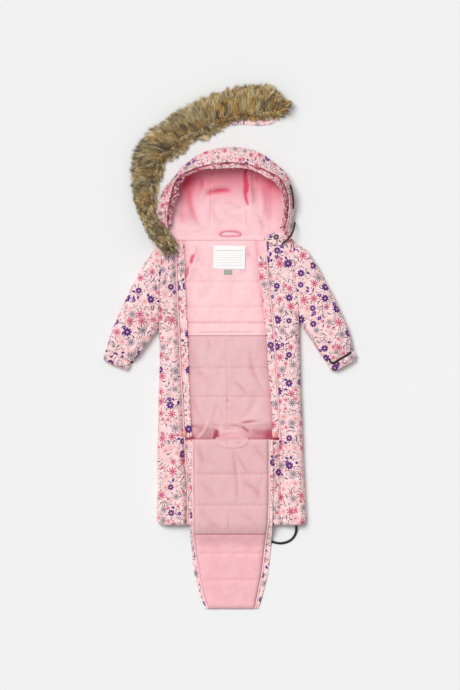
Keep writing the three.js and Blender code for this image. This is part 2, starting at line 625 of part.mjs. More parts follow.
/** Snaps and elastics at the cuffs. */
function addHardware() {
  for (const [name, x, y, r] of [['left', -289, 448, 3.8], ['right', 268, 433, 4.8]]) {
    const rim = [[0, 0], [r, 0], [-r, 0], [0, r], [0, -r]];
    const carriers = [`sleeve_${name}`, `cuff_${name}`];
    const high = Math.max(...rim.map(([dx, dy]) => topAt(carriers, x + dx, y + dy)));
    const snap = piece(`snap_${name}`, new THREE.CylinderGeometry(r * 0.8, r, 1.8, 20), SNAP);
    snap.rotation.x = Math.PI / 2;
    snap.position.set(x, y, high + GAP + 0.9);
  }
  const over = new THREE.CatmullRomCurve3([
    new THREE.Vector3(251, 416, 0),
    new THREE.Vector3(253, 409, 0),
    new THREE.Vector3(260, 404.5, 0),
    new THREE.Vector3(272, 411, 0),
    new THREE.Vector3(288, 420.5, 0),
    new THREE.Vector3(306, 432, 0),
  ]);
  const names = ['sleeve_right', 'cuff_right'];
  const reach = [-2.6, -1.3, 0, 1.3, 2.6];
  const under = (spot, side) => {
    const way = new THREE.Vector3(side.y, -side.x, 0);
    const beside = (a, b) => spot.clone().addScaledVector(side, a).addScaledVector(way, b);
    const spots = reach.flatMap((a) => [-1.5, 0, 1.5].map((b) => beside(a, b)));
    return Math.max(...spots.map((p) => topAt(names, p.x, p.y))) + GAP + 0.2;
  };
  piece('cuff_strap_right', ribbon(over, 26, 4.6, 1.4, under), ELASTIC);
  const beneath = new THREE.LineCurve3(new THREE.Vector3(-308, 436, 0), new THREE.Vector3(-240, 406, 0));
  piece('cuff_strap_left', ribbon(beneath, 8, 4.6, 1.3, () => 0.2), ELASTIC);
}

/** The fur ruff and the printed strip that it is sewn to. */
function addFur() {
  const section = (t, f, out) => {
    const { ox, oy, ix, iy } = along(FUR, t);
    return [mix(ix - out * (ox - ix), ox, f), mix(iy - out * (oy - iy), oy, f)];
  };
  const taper = (t) => 0.35 + 0.65 * puff(Math.min(t, 1 - t), 0.06);
  const pile = (top) => steps(40).map((t) => steps(8).map((f) => {
    const [x, y] = section(t, f, 0);
    const base = Math.max(along(FUR, t).base, 0) + CLOTH + GAP;
    const tuft = 1 + 0.07 * Math.sin(2 * Math.PI * FUR_TUFTS * t + 5 * f);
    const rise = (1 - Math.abs(2 * f - 1) ** 2.4) ** 0.6;
    return new THREE.Vector3(x, y, base + (top ? 1.5 + FUR_HEIGHT * taper(t) * tuft * rise : 0));
  }));
  piece('fur_trim', wall(pile(true), pile(false)), FUR_BROWN);
  const strip = (height) => steps(40).map((t) => [0, 0.5, 1].map((f) => {
    const { ox, oy, ix, iy, show, base } = along(FUR, t);
    const wide = Math.hypot(ox - ix, oy - iy);
    const [x, y] = section(t, mix(-show / wide, 0.5, f), 0);
    return new THREE.Vector3(x, y, Math.max(base, 0) + height);
  }));
  piece('fur_backing', wall(strip(CLOTH), strip(0)), PRINT);
}

/** A cord or flat elastic along chosen points. */
function cord(name, points, width, thick, count, look) {
  const path = new THREE.CatmullRomCurve3(points.map((p) => new THREE.Vector3(...p)));
  const corners = Array.from({ length: 8 }, (_, k) => ((k + 0.5) * Math.PI) / 4);
  const round = corners.map((a) => new THREE.Vector2((Math.cos(a) * width) / 2, (Math.sin(a) * thick) / 2));
  const options = { steps: count, bevelEnabled: false, extrudePath: path };
  return piece(name, new THREE.ExtrudeGeometry(new THREE.Shape(round), options), look);
}

/** The hood's black elastic and the strap under the right boot. */
function addCords() {
  const onBrim = [0.765, 0.79, 0.815, 0.84, 0.865].map((t) => hoodInside(t, 0.9, -2.8).toArray());
  cord('brim_cord', onBrim, 4, 4, 8, ELASTIC);
  const chin = [
    [165, 757, 12],
    [163.5, 747, 16],
    [160.5, 736, 22.5],
    [154.5, 724, 28.5],
    [147, 714.5, 31],
    [139, 707.5, 31.1],
    [132, 702.5, 31.4],
  ];
  cord('hood_cord', chin, 4.5, 4.5, 14, ELASTIC);
  const boot = [
    [168, -1.5, 10],
    [168.3, -9, 7],
    [167, -19, 2.6],
    [162.5, -29, 1.1],
    [153, -38.5, 1.1],
    [140, -44, 1.1],
    [125, -45.5, 1.1],
    [108, -41.5, 1.1],
    [92, -32, 1.1],
    [77, -20.5, 2],
    [66.5, -10.5, 6],
    [61, -1.5, 10],
  ];
  cord('boot_strap', boot, 6, 2, 22, ELASTIC);
}

addBack();
addLinings();
addFronts();
addPanel();
addGusset();
addSleeves();
addHood();
addTab();
addLabels();
addHardware();
addFur();
addCords();

// The origin goes under the middle of the garment, its free cords left out
const bounds = new THREE.Box3();
for (const mesh of garment.children) {
  if (!['hood_cord', 'boot_strap'].includes(mesh.name)) bounds.expandByObject(mesh, true);
}
const middle = bounds.getCenter(new THREE.Vector3());
garment.position.set(-middle.x, -middle.y, -bounds.min.z);

export default garment;
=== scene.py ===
# %% [markdown]
# # A baby's padded snowsuit, laid on its back and opened
#
# This notebook dresses a imported CAD model with cloth, quilting, zips and fur. The CAD model is a
# fixed frame: each piece below takes the place of one of its nodes and keeps to that node's space.
# The first cell loads the frame and keeps its box.

# %% Loading the frame
import json
import math

import bpy
import numpy as np
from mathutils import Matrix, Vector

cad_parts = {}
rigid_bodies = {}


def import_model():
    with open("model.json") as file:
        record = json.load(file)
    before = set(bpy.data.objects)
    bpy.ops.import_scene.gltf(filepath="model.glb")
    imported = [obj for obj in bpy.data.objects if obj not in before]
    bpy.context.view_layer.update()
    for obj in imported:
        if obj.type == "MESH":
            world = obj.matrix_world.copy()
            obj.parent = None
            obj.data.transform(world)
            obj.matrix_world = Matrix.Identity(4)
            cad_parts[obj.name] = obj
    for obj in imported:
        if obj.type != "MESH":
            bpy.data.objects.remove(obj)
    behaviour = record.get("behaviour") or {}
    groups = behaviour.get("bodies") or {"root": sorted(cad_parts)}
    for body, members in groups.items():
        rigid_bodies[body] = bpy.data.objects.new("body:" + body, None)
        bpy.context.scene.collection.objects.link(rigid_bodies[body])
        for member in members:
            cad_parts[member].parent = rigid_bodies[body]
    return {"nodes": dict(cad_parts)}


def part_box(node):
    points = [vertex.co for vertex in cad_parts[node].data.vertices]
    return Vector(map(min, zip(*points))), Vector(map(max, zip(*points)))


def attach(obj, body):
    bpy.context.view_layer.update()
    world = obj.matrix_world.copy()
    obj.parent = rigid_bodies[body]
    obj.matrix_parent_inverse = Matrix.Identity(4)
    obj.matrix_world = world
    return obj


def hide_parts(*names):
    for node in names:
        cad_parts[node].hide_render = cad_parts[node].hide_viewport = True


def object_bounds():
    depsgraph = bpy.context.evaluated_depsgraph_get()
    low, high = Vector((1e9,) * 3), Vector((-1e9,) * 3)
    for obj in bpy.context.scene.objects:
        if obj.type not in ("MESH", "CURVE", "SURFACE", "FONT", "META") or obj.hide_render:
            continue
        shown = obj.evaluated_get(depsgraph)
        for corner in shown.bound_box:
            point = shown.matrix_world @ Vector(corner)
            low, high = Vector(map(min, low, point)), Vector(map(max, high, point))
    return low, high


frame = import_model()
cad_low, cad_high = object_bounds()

print("nodes in the frame:", len(frame["nodes"]))

# %% [markdown]
# ## One set of coordinates
#
# The garment was drawn with y = 0 at the leg hems and x = 0 on the centre line of the back, and then
# centred. The small size tag at the neck tells how far everything was moved: its middle was drawn at
# a known place. All shapes below are worked out in millimetres in the drawing's frame, and one
# function takes them to metres in the row's frame.

# %% From the drawing to the row
TAG_DRAWN_AT = (-2.5, 632.0)
tag_low, tag_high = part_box("size_tag")
MOVED = np.array([
    (tag_low.x + tag_high.x) * 500 - TAG_DRAWN_AT[0],
    (tag_low.y + tag_high.y) * 500 - TAG_DRAWN_AT[1],
    0.0,
])


def to_row(points):
    """Drawing points in millimetres to the row's metres: add the move, divide by 1000."""
    return (np.asarray(points, float) + MOVED) / 1000


print("the drawing was moved by", MOVED.round(2), "mm")

# %% [markdown]
# ## Camera, floor and light
#
# The photograph looks straight down, so an orthographic camera over the middle of the picture keeps
# every edge where it was measured: one pixel is 2.5 mm. A wide sun from the upper left with a bright
# world round it gives the soft shadow that a studio tent gives.

# %% Camera and floor
MM_PER_PIXEL = 2.5
PICTURE = (460, 690)
PICTURE_MIDDLE = (2.5, 450.0)

camera_data = bpy.data.cameras.new("camera")
camera_data.type = "ORTHO"
camera_data.ortho_scale = PICTURE[1] * MM_PER_PIXEL / 1000
camera = bpy.data.objects.new("camera", camera_data)
camera.location = to_row([*PICTURE_MIDDLE, 2500.0])
bpy.context.scene.collection.objects.link(camera)
bpy.context.scene.camera = camera

FLOOR_HALF = 6.0
floor_mesh = bpy.data.meshes.new("floor")
corners = [(-FLOOR_HALF, -FLOOR_HALF, 0), (FLOOR_HALF, -FLOOR_HALF, 0),
           (FLOOR_HALF, FLOOR_HALF, 0), (-FLOOR_HALF, FLOOR_HALF, 0)]
floor_mesh.from_pydata([(x, y, cad_low.z - 0.0003) for x, y, _ in corners], [], [(0, 1, 2, 3)])
floor = bpy.data.objects.new("floor", floor_mesh)
bpy.context.scene.collection.objects.link(floor)

# %% [markdown]
# The light is one soft sun from the upper left and an even pale sky, so that the folds show.

# %% Light
SUN_STRENGTH = 2.2
SUN_SOFTNESS = math.radians(32)
WORLD_STRENGTH = 0.455

sun_data = bpy.data.lights.new("window", "SUN")
sun_data.energy = SUN_STRENGTH
sun_data.angle = SUN_SOFTNESS
sun = bpy.data.objects.new("window", sun_data)
sun.rotation_euler = (math.radians(-24), math.radians(-25), 0)
bpy.context.scene.collection.objects.link(sun)

world = bpy.data.worlds.new("studio")
bpy.context.scene.world = world
world.use_nodes = True
world.node_tree.nodes["Background"].inputs["Color"].default_value = (1, 1, 1, 1)
world.node_tree.nodes["Background"].inputs["Strength"].default_value = WORLD_STRENGTH
bpy.context.scene.view_settings.view_transform = "Standard"

# %% [markdown]
# ## Materials from nodes
#
# A procedural material is a small program of nodes. Writing it as sums and products of sockets is
# easier to read than placing nodes one by one, so this helper turns each call into a node.
# Colours are written as they look on a screen and turned into light values.

# %% A helper for materials
def light(code):
    """A screen colour like "f3cdd2" as linear RGBA: ((c + 0.055) / 1.055) ** 2.4, or c / 12.92."""
    c = np.array([int(code[i:i + 2], 16) for i in (0, 2, 4)]) / 255
    c = np.where(c > 0.04045, ((c + 0.055) / 1.055) ** 2.4, c / 12.92)
    return (*c.tolist(), 1.0)


class Finish:
    """A material whose nodes are made by calls."""

    def __init__(self, name, roughness=0.7, sheen=0.0, **numbers):
        self.material = bpy.data.materials.new(name)
        self.material.use_nodes = True
        self.tree = self.material.node_tree
        self.shader = self.tree.nodes["Principled BSDF"]
        self.shader.inputs["Roughness"].default_value = roughness
        self.shader.inputs["Sheen Weight"].default_value = sheen
        for key, value in numbers.items():
            self.shader.inputs[key.replace("_", " ")].default_value = value

    def node(self, kind, inputs=(), **settings):
        made = self.tree.nodes.new(kind)
        for key, value in settings.items():
            setattr(made, key, value)
        for key, value in dict(inputs).items():
            self.put(made.inputs[key], value)
        return made

    def put(self, socket, value):
        if isinstance(value, bpy.types.NodeSocket):
            self.tree.links.new(value, socket)
        elif value is not None:
            socket.default_value = value

    def calc(self, operation, *values):
        made = self.node("ShaderNodeMath", operation=operation)
        for socket, value in zip(made.inputs, values):
            self.put(socket, value)
        return made.outputs[0]

    def calc3(self, operation, a, b=None):
        made = self.node("ShaderNodeVectorMath", operation=operation)
        self.put(made.inputs[0], a)
        if operation == "SCALE":
            self.put(made.inputs["Scale"], b)
        else:
            self.put(made.inputs[1], b)
        return made.outputs[0]

    def split(self, vector):
        made = self.node("ShaderNodeSeparateXYZ", {"Vector": vector})
        return made.outputs[0], made.outputs[1], made.outputs[2]

    def step(self, value, low, high):
        """0 below low and 1 above high, smooth between."""
        made = self.node("ShaderNodeMapRange", {"Value": value, "From Min": low, "From Max": high},
                         interpolation_type="SMOOTHSTEP")
        return made.outputs[0]

    def mix(self, share, a, b):
        made = self.node("ShaderNodeMix", data_type="RGBA")
        colours = [s for s in made.inputs if s.type == "RGBA"]
        self.put(made.inputs[0], share)
        self.put(colours[0], light(a) if isinstance(a, str) else a)
        self.put(colours[1], light(b) if isinstance(b, str) else b)
        return next(s for s in made.outputs if s.type == "RGBA")

    def noise(self, vector, scale, detail=2.0, rough=0.5):
        inputs = {"Vector": vector, "Scale": scale, "Detail": detail, "Roughness": rough}
        return self.node("ShaderNodeTexNoise", inputs).outputs["Fac"]

    def object_place(self):
        return self.node("ShaderNodeTexCoord").outputs["Object"]

    def cloth_place(self):
        return self.node("ShaderNodeUVMap", uv_map="cloth").outputs[0]

    def attribute(self, name):
        return self.node("ShaderNodeAttribute", attribute_name=name).outputs["Fac"]

    def with_painted_shade(self, colour, deep, most=1.0, darkest=None):
        """Painted shade: the colour turned to a darker shade colour by the attribute "deep", and to the
        darkest painted shadow where it runs from 1 to 2.
        """
        shaded = self.mix(self.calc("MULTIPLY", self.attribute("deep"), most), colour, deep)
        return self.mix(self.step(self.attribute("deep"), 1.0, 2.0), shaded, darkest) if darkest else shaded

    def crumple(self, place, scale, distance, strength=0.6):
        """A second, larger bump for small soft wrinkles."""
        fold = self.noise(place, scale, 3.0, 0.45)
        bump = self.node("ShaderNodeBump", {"Height": fold, "Distance": distance, "Strength": strength})
        self.wrinkles = bump.outputs[0]

    def finish(self, colour, height=None, distance=0.0005, strength=1.0):
        self.put(self.shader.inputs["Base Color"], light(colour) if isinstance(colour, str) else colour)
        if height is not None:
            bump = self.node("ShaderNodeBump", {"Height": height, "Distance": distance, "Strength": strength})
            if getattr(self, "wrinkles", None) is not None:
                self.put(bump.inputs["Normal"], self.wrinkles)
            self.put(self.shader.inputs["Normal"], bump.outputs[0])
        return self.material


floor_finish = Finish("pale_floor", roughness=0.9)
floor_tone = floor_finish.mix(floor_finish.noise(floor_finish.object_place(), 3.0), "ededed", "efefef")
floor_mesh.materials.append(floor_finish.finish(floor_tone))

# %% [markdown]
# ## The print
#
# The outer cloth carries a small scattered flower print. Cells of a Voronoi texture give each flower
# its own middle, turn and kind, and a flower's edge is a circle whose radius swings with the angle:
# as many swings as petals. A second, finer layer puts buds, leaves and sprigs between the flowers,
# and asks the first layer how near its flowers are, so that no small one is cut by a large one.
# The pattern reads a flat map of the cloth in metres, so it keeps its size on every curve.

# %% Flowers, buds and leaves
FLOWER_PITCH = 0.0295
FLOWER_JUMBLE = 0.72
BUD_PITCH = 0.0128
DASH_PITCH = 0.0074


class Print(Finish):
    """The scattered flowers as a material."""

    def cells(self, place, pitch, jumble):
        """The nearest cell of a jumbled grid: its middle, and three chances from 0 to 1."""
        inputs = {"Vector": place, "Scale": 1 / pitch, "Randomness": jumble}
        made = self.node("ShaderNodeTexVoronoi", inputs, voronoi_dimensions="2D")
        return made.outputs["Position"], self.split(made.outputs["Color"]), made.outputs["Distance"]

    def round_place(self, place, middle, turn):
        """Millimetres from a middle, and the angle there turned by a chance's share of a circle."""
        x, y, _ = self.split(self.calc3("SCALE", self.calc3("SUBTRACT", place, middle), 1000.0))
        far = self.calc("SQRT", self.calc("ADD", self.calc("MULTIPLY", x, x), self.calc("MULTIPLY", y, y)))
        angle = self.calc("ADD", self.calc("ARCTAN2", y, x), self.calc("MULTIPLY", turn, 6.283))
        return far, angle

    def petals(self, far, angle, count, radius, depth, sharp=1.0):
        """1 inside radius * (1 - depth + depth * |cos(count * angle / 2)| ** sharp)."""
        swing = self.calc("ABSOLUTE", self.calc("COSINE", self.calc("MULTIPLY", angle, count / 2)))
        swing = self.calc("POWER", swing, sharp)
        edge = self.calc("MULTIPLY_ADD", swing, self.calc("MULTIPLY", radius, depth),
                         self.calc("MULTIPLY", radius, 1 - depth))
        return self.step(self.calc("SUBTRACT", edge, far), -0.25, 0.25)

    def leaf(self, far, angle, length, width, bend=0.0):
        """1 inside an oval, its long axis bent by bend * x * x."""
        x = self.calc("MULTIPLY", far, self.calc("COSINE", angle))
        y = self.calc("MULTIPLY", far, self.calc("SINE", angle))
        y = self.calc("SUBTRACT", y, self.calc("MULTIPLY", self.calc("MULTIPLY", x, x), bend))
        x, y = self.calc("DIVIDE", x, length), self.calc("DIVIDE", y, width)
        size = self.calc("ADD", self.calc("MULTIPLY", x, x), self.calc("MULTIPLY", y, y))
        return self.step(size, 1.15, 0.85)

    def clear_of(self, place, pitch, jumble, distance):
        """1 where the nearest cell's middle of another layer is further away than a distance."""
        other, _, _ = self.cells(place, pitch, jumble)
        gap = self.node("ShaderNodeVectorMath", {0: other, 1: place}, operation="DISTANCE")
        return self.calc("GREATER_THAN", gap.outputs["Value"], distance)

    def sprig(self, far, angle, reach, thick):
        """1 on three thin stems that meet at the middle."""
        swing = self.calc("ABSOLUTE", self.calc("SINE", self.calc("MULTIPLY", angle, 1.5)))
        off = self.calc("MULTIPLY", self.calc("MULTIPLY", swing, far), 0.667)
        return self.calc("MULTIPLY", self.step(off, thick + 0.25, thick - 0.1),
                         self.step(far, reach + 0.3, reach - 0.3))

    def among(self, chance, low, high):
        """1 where a chance lies between two bounds."""
        return self.calc("MULTIPLY", self.calc("GREATER_THAN", chance, low),
                         self.calc("LESS_THAN", chance, high))

    def lay(self, ground, mask, kind, colour):
        return self.mix(self.calc("MULTIPLY", mask, kind), ground, colour)


def print_finish(name, roughness=0.62):
    """The print on its pale ground, with a fine weave and a soft sheen."""
    made = Print(name, roughness=roughness, sheen=0.12)
    place = made.cloth_place()
    ground = made.mix(made.noise(place, 60.0, 3.0), "fbd9d8", "f7cdcf")

    middle, (chance, turn, size), _ = made.cells(place, FLOWER_PITCH, FLOWER_JUMBLE)
    far, angle = made.round_place(place, middle, turn)
    scale = made.calc("MULTIPLY_ADD", size, 0.34, 0.78)

    # the smallest: dashes, dots and twigs, where nothing larger is near
    tiny_middle, (tiny_kind, tiny_turn, _), _ = made.cells(place, DASH_PITCH, 0.9)
    tiny_far, tiny_angle = made.round_place(place, tiny_middle, tiny_turn)
    free = made.calc("MULTIPLY", made.clear_of(tiny_middle, FLOWER_PITCH, FLOWER_JUMBLE, 0.0102),
                     made.clear_of(tiny_middle, BUD_PITCH, 0.85, 0.0048))
    for low, high, mask, colour in (
        (0.00, 0.30, made.leaf(tiny_far, tiny_angle, 3.8, 0.95, 0.05), "4a3b4f"),
        (0.30, 0.55, made.leaf(tiny_far, tiny_angle, 3.8, 0.85, 0.16), "83747f"),
        (0.55, 0.75, made.sprig(tiny_far, tiny_angle, 3.8, 0.4), "5f5162"),
        (0.75, 0.88, made.step(tiny_far, 1.5, 1.0), "d65f7b"),
        (0.88, 1.01, made.step(tiny_far, 2.2, 1.6), "f2b0ae"),
    ):
        ground = made.lay(ground, made.calc("MULTIPLY", mask, free), made.among(tiny_kind, low, high), colour)

    # buds, blossoms and leaves round the flowers: beside a violet flower they are violet too
    bud_middle, (bud_kind, bud_turn, _), _ = made.cells(place, BUD_PITCH, 0.85)
    _, (near_chance, _, _), _ = made.cells(bud_middle, FLOWER_PITCH, FLOWER_JUMBLE)
    bud_far, bud_angle = made.round_place(place, bud_middle, bud_turn)
    free = made.clear_of(bud_middle, FLOWER_PITCH, FLOWER_JUMBLE, 0.0112)
    violet = made.calc("LESS_THAN", near_chance, 0.19)
    kinds = [
        (0.00, 0.34, violet, made.leaf(bud_far, bud_angle, 4.4, 2.9), "4a1278"),
        (0.34, 0.52, violet, made.petals(bud_far, bud_angle, 6, 5.6, 0.3), "532487"),
        (0.00, 0.16, made.calc("SUBTRACT", 1.0, violet), made.petals(bud_far, bud_angle, 5, 4.6, 0.25),
         "dd6f88"),
        (0.16, 0.34, made.calc("SUBTRACT", 1.0, violet), made.leaf(bud_far, bud_angle, 5.4, 1.6, 0.05),
         "4a3c50"),
        (0.34, 0.52, made.calc("SUBTRACT", 1.0, violet), made.petals(bud_far, bud_angle, 5, 5.0, 0.3),
         "f3b9b9"),
        (0.52, 0.72, 1.0, made.sprig(bud_far, bud_angle, 6.6, 0.6), "6b5d6b"),
        (0.72, 0.88, 1.0, made.leaf(bud_far, bud_angle, 5.8, 1.3, 0.11), "574a5c"),
        (0.88, 1.01, 1.0, made.leaf(bud_far, bud_angle, 3.2, 2.3), "a095a0"),
    ]
    for low, high, where, mask, colour in kinds:
        mask = made.calc("MULTIPLY", made.calc("MULTIPLY", mask, free), where)
        ground = made.lay(ground, mask, made.among(bud_kind, low, high), colour)
    heart = made.calc("MULTIPLY", made.calc("MULTIPLY", made.step(bud_far, 1.6, 1.0), free), violet)
    ground = made.lay(ground, heart, made.among(bud_kind, 0.34, 0.52), "e79a9c")

    # flowers: violet, rose, grey and pale ones
    def flower(ground, low, high, count, radius, depth, sharp, colour, heart, heart_radius):
        kind = made.among(chance, low, high)
        size_mm = made.calc("MULTIPLY", scale, radius)
        ground = made.lay(ground, made.petals(far, angle, count, size_mm, depth, sharp), kind, colour)
        return made.lay(ground, made.step(far, heart_radius + 0.3, heart_radius - 0.3), kind, heart)

    ground = flower(ground, 0.00, 0.19, 8, 10.2, 0.42, 0.6, "4a0f74", "ee9a93", 2.4)
    ground = flower(ground, 0.19, 0.45, 8, 10.8, 0.8, 1.1, "cf5273", "7d5f86", 1.8)
    ground = flower(ground, 0.45, 0.76, 9, 11.0, 0.84, 1.25, "8f828d", "7f7180", 1.8)
    ground = flower(ground, 0.76, 0.92, 5, 9.4, 0.28, 1.0, "f2b6b5", "7e2f49", 1.5)

    threads = made.calc3("SCALE", place, 2600.0)
    x, y, _ = made.split(threads)
    weave = made.calc("MULTIPLY", made.calc("SINE", x), made.calc("SINE", y))
    height = made.calc("MULTIPLY_ADD", weave, 0.25, made.noise(place, 420.0, 2.0))
    made.crumple(place, 42.0, 0.006)
    # painted shade: crimson by "deep" in folds, troughs and creases; near-black painted shadow past 1
    return made.finish(made.with_painted_shade(ground, "a3284c", 0.9, "160a12"), height, 0.0003, 0.5)


print_cloth = print_finish("printed_cloth")
print("print nodes:", len(print_cloth.node_tree.nodes))

# %% [markdown]
# ## Linings and small materials
#
# The linings are plain: a smooth pink one, a rose air mesh with fine holes, and a fleece whose short
# nap scatters light at its edges, which is what sheen does. Each gets a weave or nap at its real
# scale, so that a close view still shows cloth.

# %% Plain finishes
def smooth_lining(name, pale, deep):
    """A plain woven lining: two tones in soft clouds and a fine diagonal rib."""
    made = Finish(name, roughness=0.6, sheen=0.15)
    place = made.object_place()
    tone = made.mix(made.noise(place, 14.0, 3.0), pale, deep)
    x, y, _ = made.split(made.calc3("SCALE", place, 3100.0))
    rib = made.calc("SINE", made.calc("ADD", x, y))
    height = made.calc("MULTIPLY_ADD", rib, 0.2, made.noise(place, 300.0, 2.0))
    made.crumple(place, 26.0, 0.004)
    # painted shade: deep pink by "deep", deeper red painted shadow past 1
    return made.finish(made.with_painted_shade(tone, "e0667e", 1.0, "b81c40"), height, 0.0003, 0.5)


def air_mesh(name, pale, deep):
    """A knitted mesh: round holes in a diagonal grid, darker inside."""
    made = Finish(name, roughness=0.75, sheen=0.2)
    place = made.object_place()
    x, y, _ = made.split(made.calc3("SCALE", place, 2400.0))
    dots = made.calc("MULTIPLY", made.calc("SINE", made.calc("ADD", x, y)),
                     made.calc("SINE", made.calc("SUBTRACT", x, y)))
    hole = made.step(dots, 0.1, 0.7)
    tone = made.mix(made.noise(place, 22.0, 3.0), pale, deep)
    tone = made.mix(made.calc("MULTIPLY", hole, 0.2), tone, "c2727e")
    made.crumple(place, 24.0, 0.004)
    # painted shade: dusky rose by "deep", darker painted shadow past 1
    return made.finish(made.with_painted_shade(tone, "b84c64", 1.0, "7c2c40"), made.calc("SUBTRACT", 1.0, hole), 0.0005,
                       0.6)


def fleece(name, pale, deep):
    """A short curled nap: fine noise in bump and tone."""
    made = Finish(name, roughness=0.95, sheen=0.35)
    made.shader.inputs["Sheen Roughness"].default_value = 0.4
    place = made.object_place()
    curl = made.noise(place, 520.0, 3.0, 0.65)
    made.crumple(place, 18.0, 0.005)
    tone = made.mix(made.noise(place, 30.0, 3.0), pale, deep)
    tone = made.mix(made.calc("MULTIPLY", curl, 0.12), tone, "ffffff")
    # painted shade: deep pink by "deep", darker painted shadow past 1
    return made.finish(made.with_painted_shade(tone, "dc4868", 1.0, "9c1838"), curl, 0.0012, 0.5)


def grained(name, pale, deep, scale, roughness, **numbers):
    """A small hard or ribbed part: two tones and a bump of one grain size."""
    made = Finish(name, roughness=roughness, **numbers)
    grain = made.noise(made.object_place(), scale, 3.0)
    return made.finish(made.mix(grain, pale, deep), grain, 0.0002, 0.5)


upper_pink = smooth_lining("pink_lining_cloth", "fed3d7", "fbc7cd")
panel_rose = smooth_lining("panel_lining_cloth", "f6bfc4", "f2b5bc")
rose_mesh = air_mesh("rose_mesh_cloth", "f6cacc", "efbbbf")
hood_fleece = fleece("hood_fleece", "fdd0d5", "fabfc7")
zip_tape = grained("zip_tape_cloth", "fcdfe2", "f6ced4", 900.0, 0.6)
zip_coil = grained("zip_teeth", "fbdade", "f0c6cd", 500.0, 0.35)
thread_pink = grained("pink_thread", "ef9dab", "e68a9b", 1500.0, 0.6)
slider_coral = grained("slider_coral", "f3a48f", "e88f7c", 700.0, 0.4)
black_elastic = grained("black_elastic_cloth", "060506", "100e10", 1400.0, 0.65)
snap_plastic = grained("snap_plastic_grey", "9fa19a", "8b8f88", 300.0, 0.35)
dark_metal = grained("dark_ring_metal", "4a484b", "343235", 600.0, 0.3, Metallic=0.9)
tag_satin = grained("tag_satin_green", "a9b1a4", "8f9a8e", 1200.0, 0.5)


def ruled_label(name):
    """A white satin label with plain grey rules across it."""
    made = Finish(name, roughness=0.45, sheen=0.1)
    place = made.cloth_place()
    x, y, _ = made.split(made.calc3("SCALE", place, 1000.0))
    tone = light("f8f7f5")
    inset = made.step(made.calc("ABSOLUTE", x), 34.0, 33.4)
    for level, half, shade in ((17.2, 0.55, 0.6), (-0.5, 0.3, 0.35), (-5.7, 0.3, 0.35), (-13.0, 0.3, 0.4),
                               (-20.0, 0.4, 0.45), (9.0, 0.25, 0.22), (4.5, 0.25, 0.22)):
        line = made.step(made.calc("ABSOLUTE", made.calc("SUBTRACT", y, level)), half + 0.35, half - 0.1)
        tone = made.mix(made.calc("MULTIPLY", made.calc("MULTIPLY", line, inset), shade), tone, "9b9a9c")
    return made.finish(tone, made.noise(place, 900.0), 0.0002, 0.4)


label_satin = ruled_label("label_satin_white")

# %% [markdown]
# ## Sizes of the garment
#
# The tables are the garment's own sizes in millimetres: the edges of the body at some heights, the
# folded panel, the sleeves, the hood round its brim and the fur ruff from end to end. Between the
# rows the body is straight and the others are smooth, as in the solids.

# %% Tables
def table(names, rows):
    """Columns by name."""
    return {name: np.array(column, float) for name, column in zip(names.split(), zip(*rows))}


BODY = table("y side1 zip1 open1 open2 zip2 side2", [
    (716, -168, -135, -113, 69, 91, 158),
    (658, -170, -132, -110, 72, 95, 163),
    (600, -172, -130, -110, 79, 100, 168),
    (548, -174, -128, -106, 85, 106, 172),
    (492, -176, -125, -104, 92, 111, 176),
    (458, -174, -124, -102, 94, 114, 177),
    (405, -173, -121, -101, 97, 117, 178),
    (362, -175, -119, -100, 101, 120, 179),
    (312, -177, -116, -98, 105, 123, 181),
    (262, -177, -114, -95, 108, 125, 183),
    (212, -179, -111, -91, 109, 128, 185),
    (162, -180, -108, -89, 110, 129, 186),
    (112, -178, -105, -88, 110, 130, 189),
    (62, -180, -103, -88, 110, 130, 191),
    (25, -181, -103, -88, 110, 130, 193),
    (0, -178, -103, -88, 110, 130, 192),
])
PANEL = table("y edge1 lining1 lining2 edge2", [
    (214, -99, -88, 98, 109),
    (125, -100, -88, 98, 110),
    (50, -99, -87, 98, 110),
    (2, -97, -87, 95, 108),
    (-23, -96, -86, 91, 107),
    (-70, -93, -81, 86, 103),
    (-120, -87, -73, 80, 97),
    (-162, -77, -65, 72, 87),
    (-188, -68, -58, 67, 80),
    (-209, -58, -51, 63, 73),
])
SLEEVES = {
    "left": table("ox oy ix iy", [
        (-168.6, 704, -176.6, 492), (-192, 682, -180, 486), (-210, 656, -185, 478),
        (-235, 612, -195, 466), (-258, 564, -205, 451), (-274, 528, -215, 438),
        (-292, 488, -227, 422), (-304, 448, -240, 411), (-302, 435, -245, 409),
    ]),
    "right": table("ox oy ix iy", [
        (159, 706, 176, 509), (191, 689, 180, 501), (207, 668, 185, 492), (227, 636, 193, 480),
        (245, 600, 202, 468), (262, 569, 211, 454), (278, 534, 221, 438), (297, 490, 232, 422),
        (307, 455, 245, 405), (309, 437, 250, 401),
    ]),
}
CUFFS = {
    "left": table("ox oy ix iy", [(-303, 434, -246, 408), (-313, 424, -248, 398), (-313, 412, -254, 387)]),
    "right": table("ox oy ix iy", [(310, 436, 250.5, 400), (318, 425, 253, 389), (317, 413, 264, 384)]),
}
HOOD = table("ox oy bx by lx ly nx", [
    (-151, 721, -147, 724, -143, 729, -144),
    (-169, 750, -155, 752, -145, 755, -138),
    (-181, 782, -154, 788, -140, 787, -122),
    (-175, 810, -148, 816, -132, 814, -105),
    (-162, 841, -141, 848, -125, 841, -88),
    (-138, 871, -126, 872, -110, 868, -70),
    (-110, 901, -99, 888, -85, 882, -50),
    (-76, 924, -62, 900, -55, 890, -30),
    (-36, 939, -26, 906, -20, 891, -12),
    (6, 944, 6, 908, 14, 893, 6),
    (50, 939, 41, 904, 49, 890, 25),
    (90, 922, 79, 894, 81, 877, 42),
    (122, 898, 111, 880, 108, 860, 60),
    (144, 876, 132, 866, 126, 844, 78),
    (157, 844, 145, 841, 136, 822, 95),
    (162, 810, 152, 812, 138, 800, 112),
    (161, 775, 150, 776, 136, 773, 128),
    (158, 748, 145, 748, 130, 746, 140),
    (152, 721, 138, 725, 126, 728, 149),
])
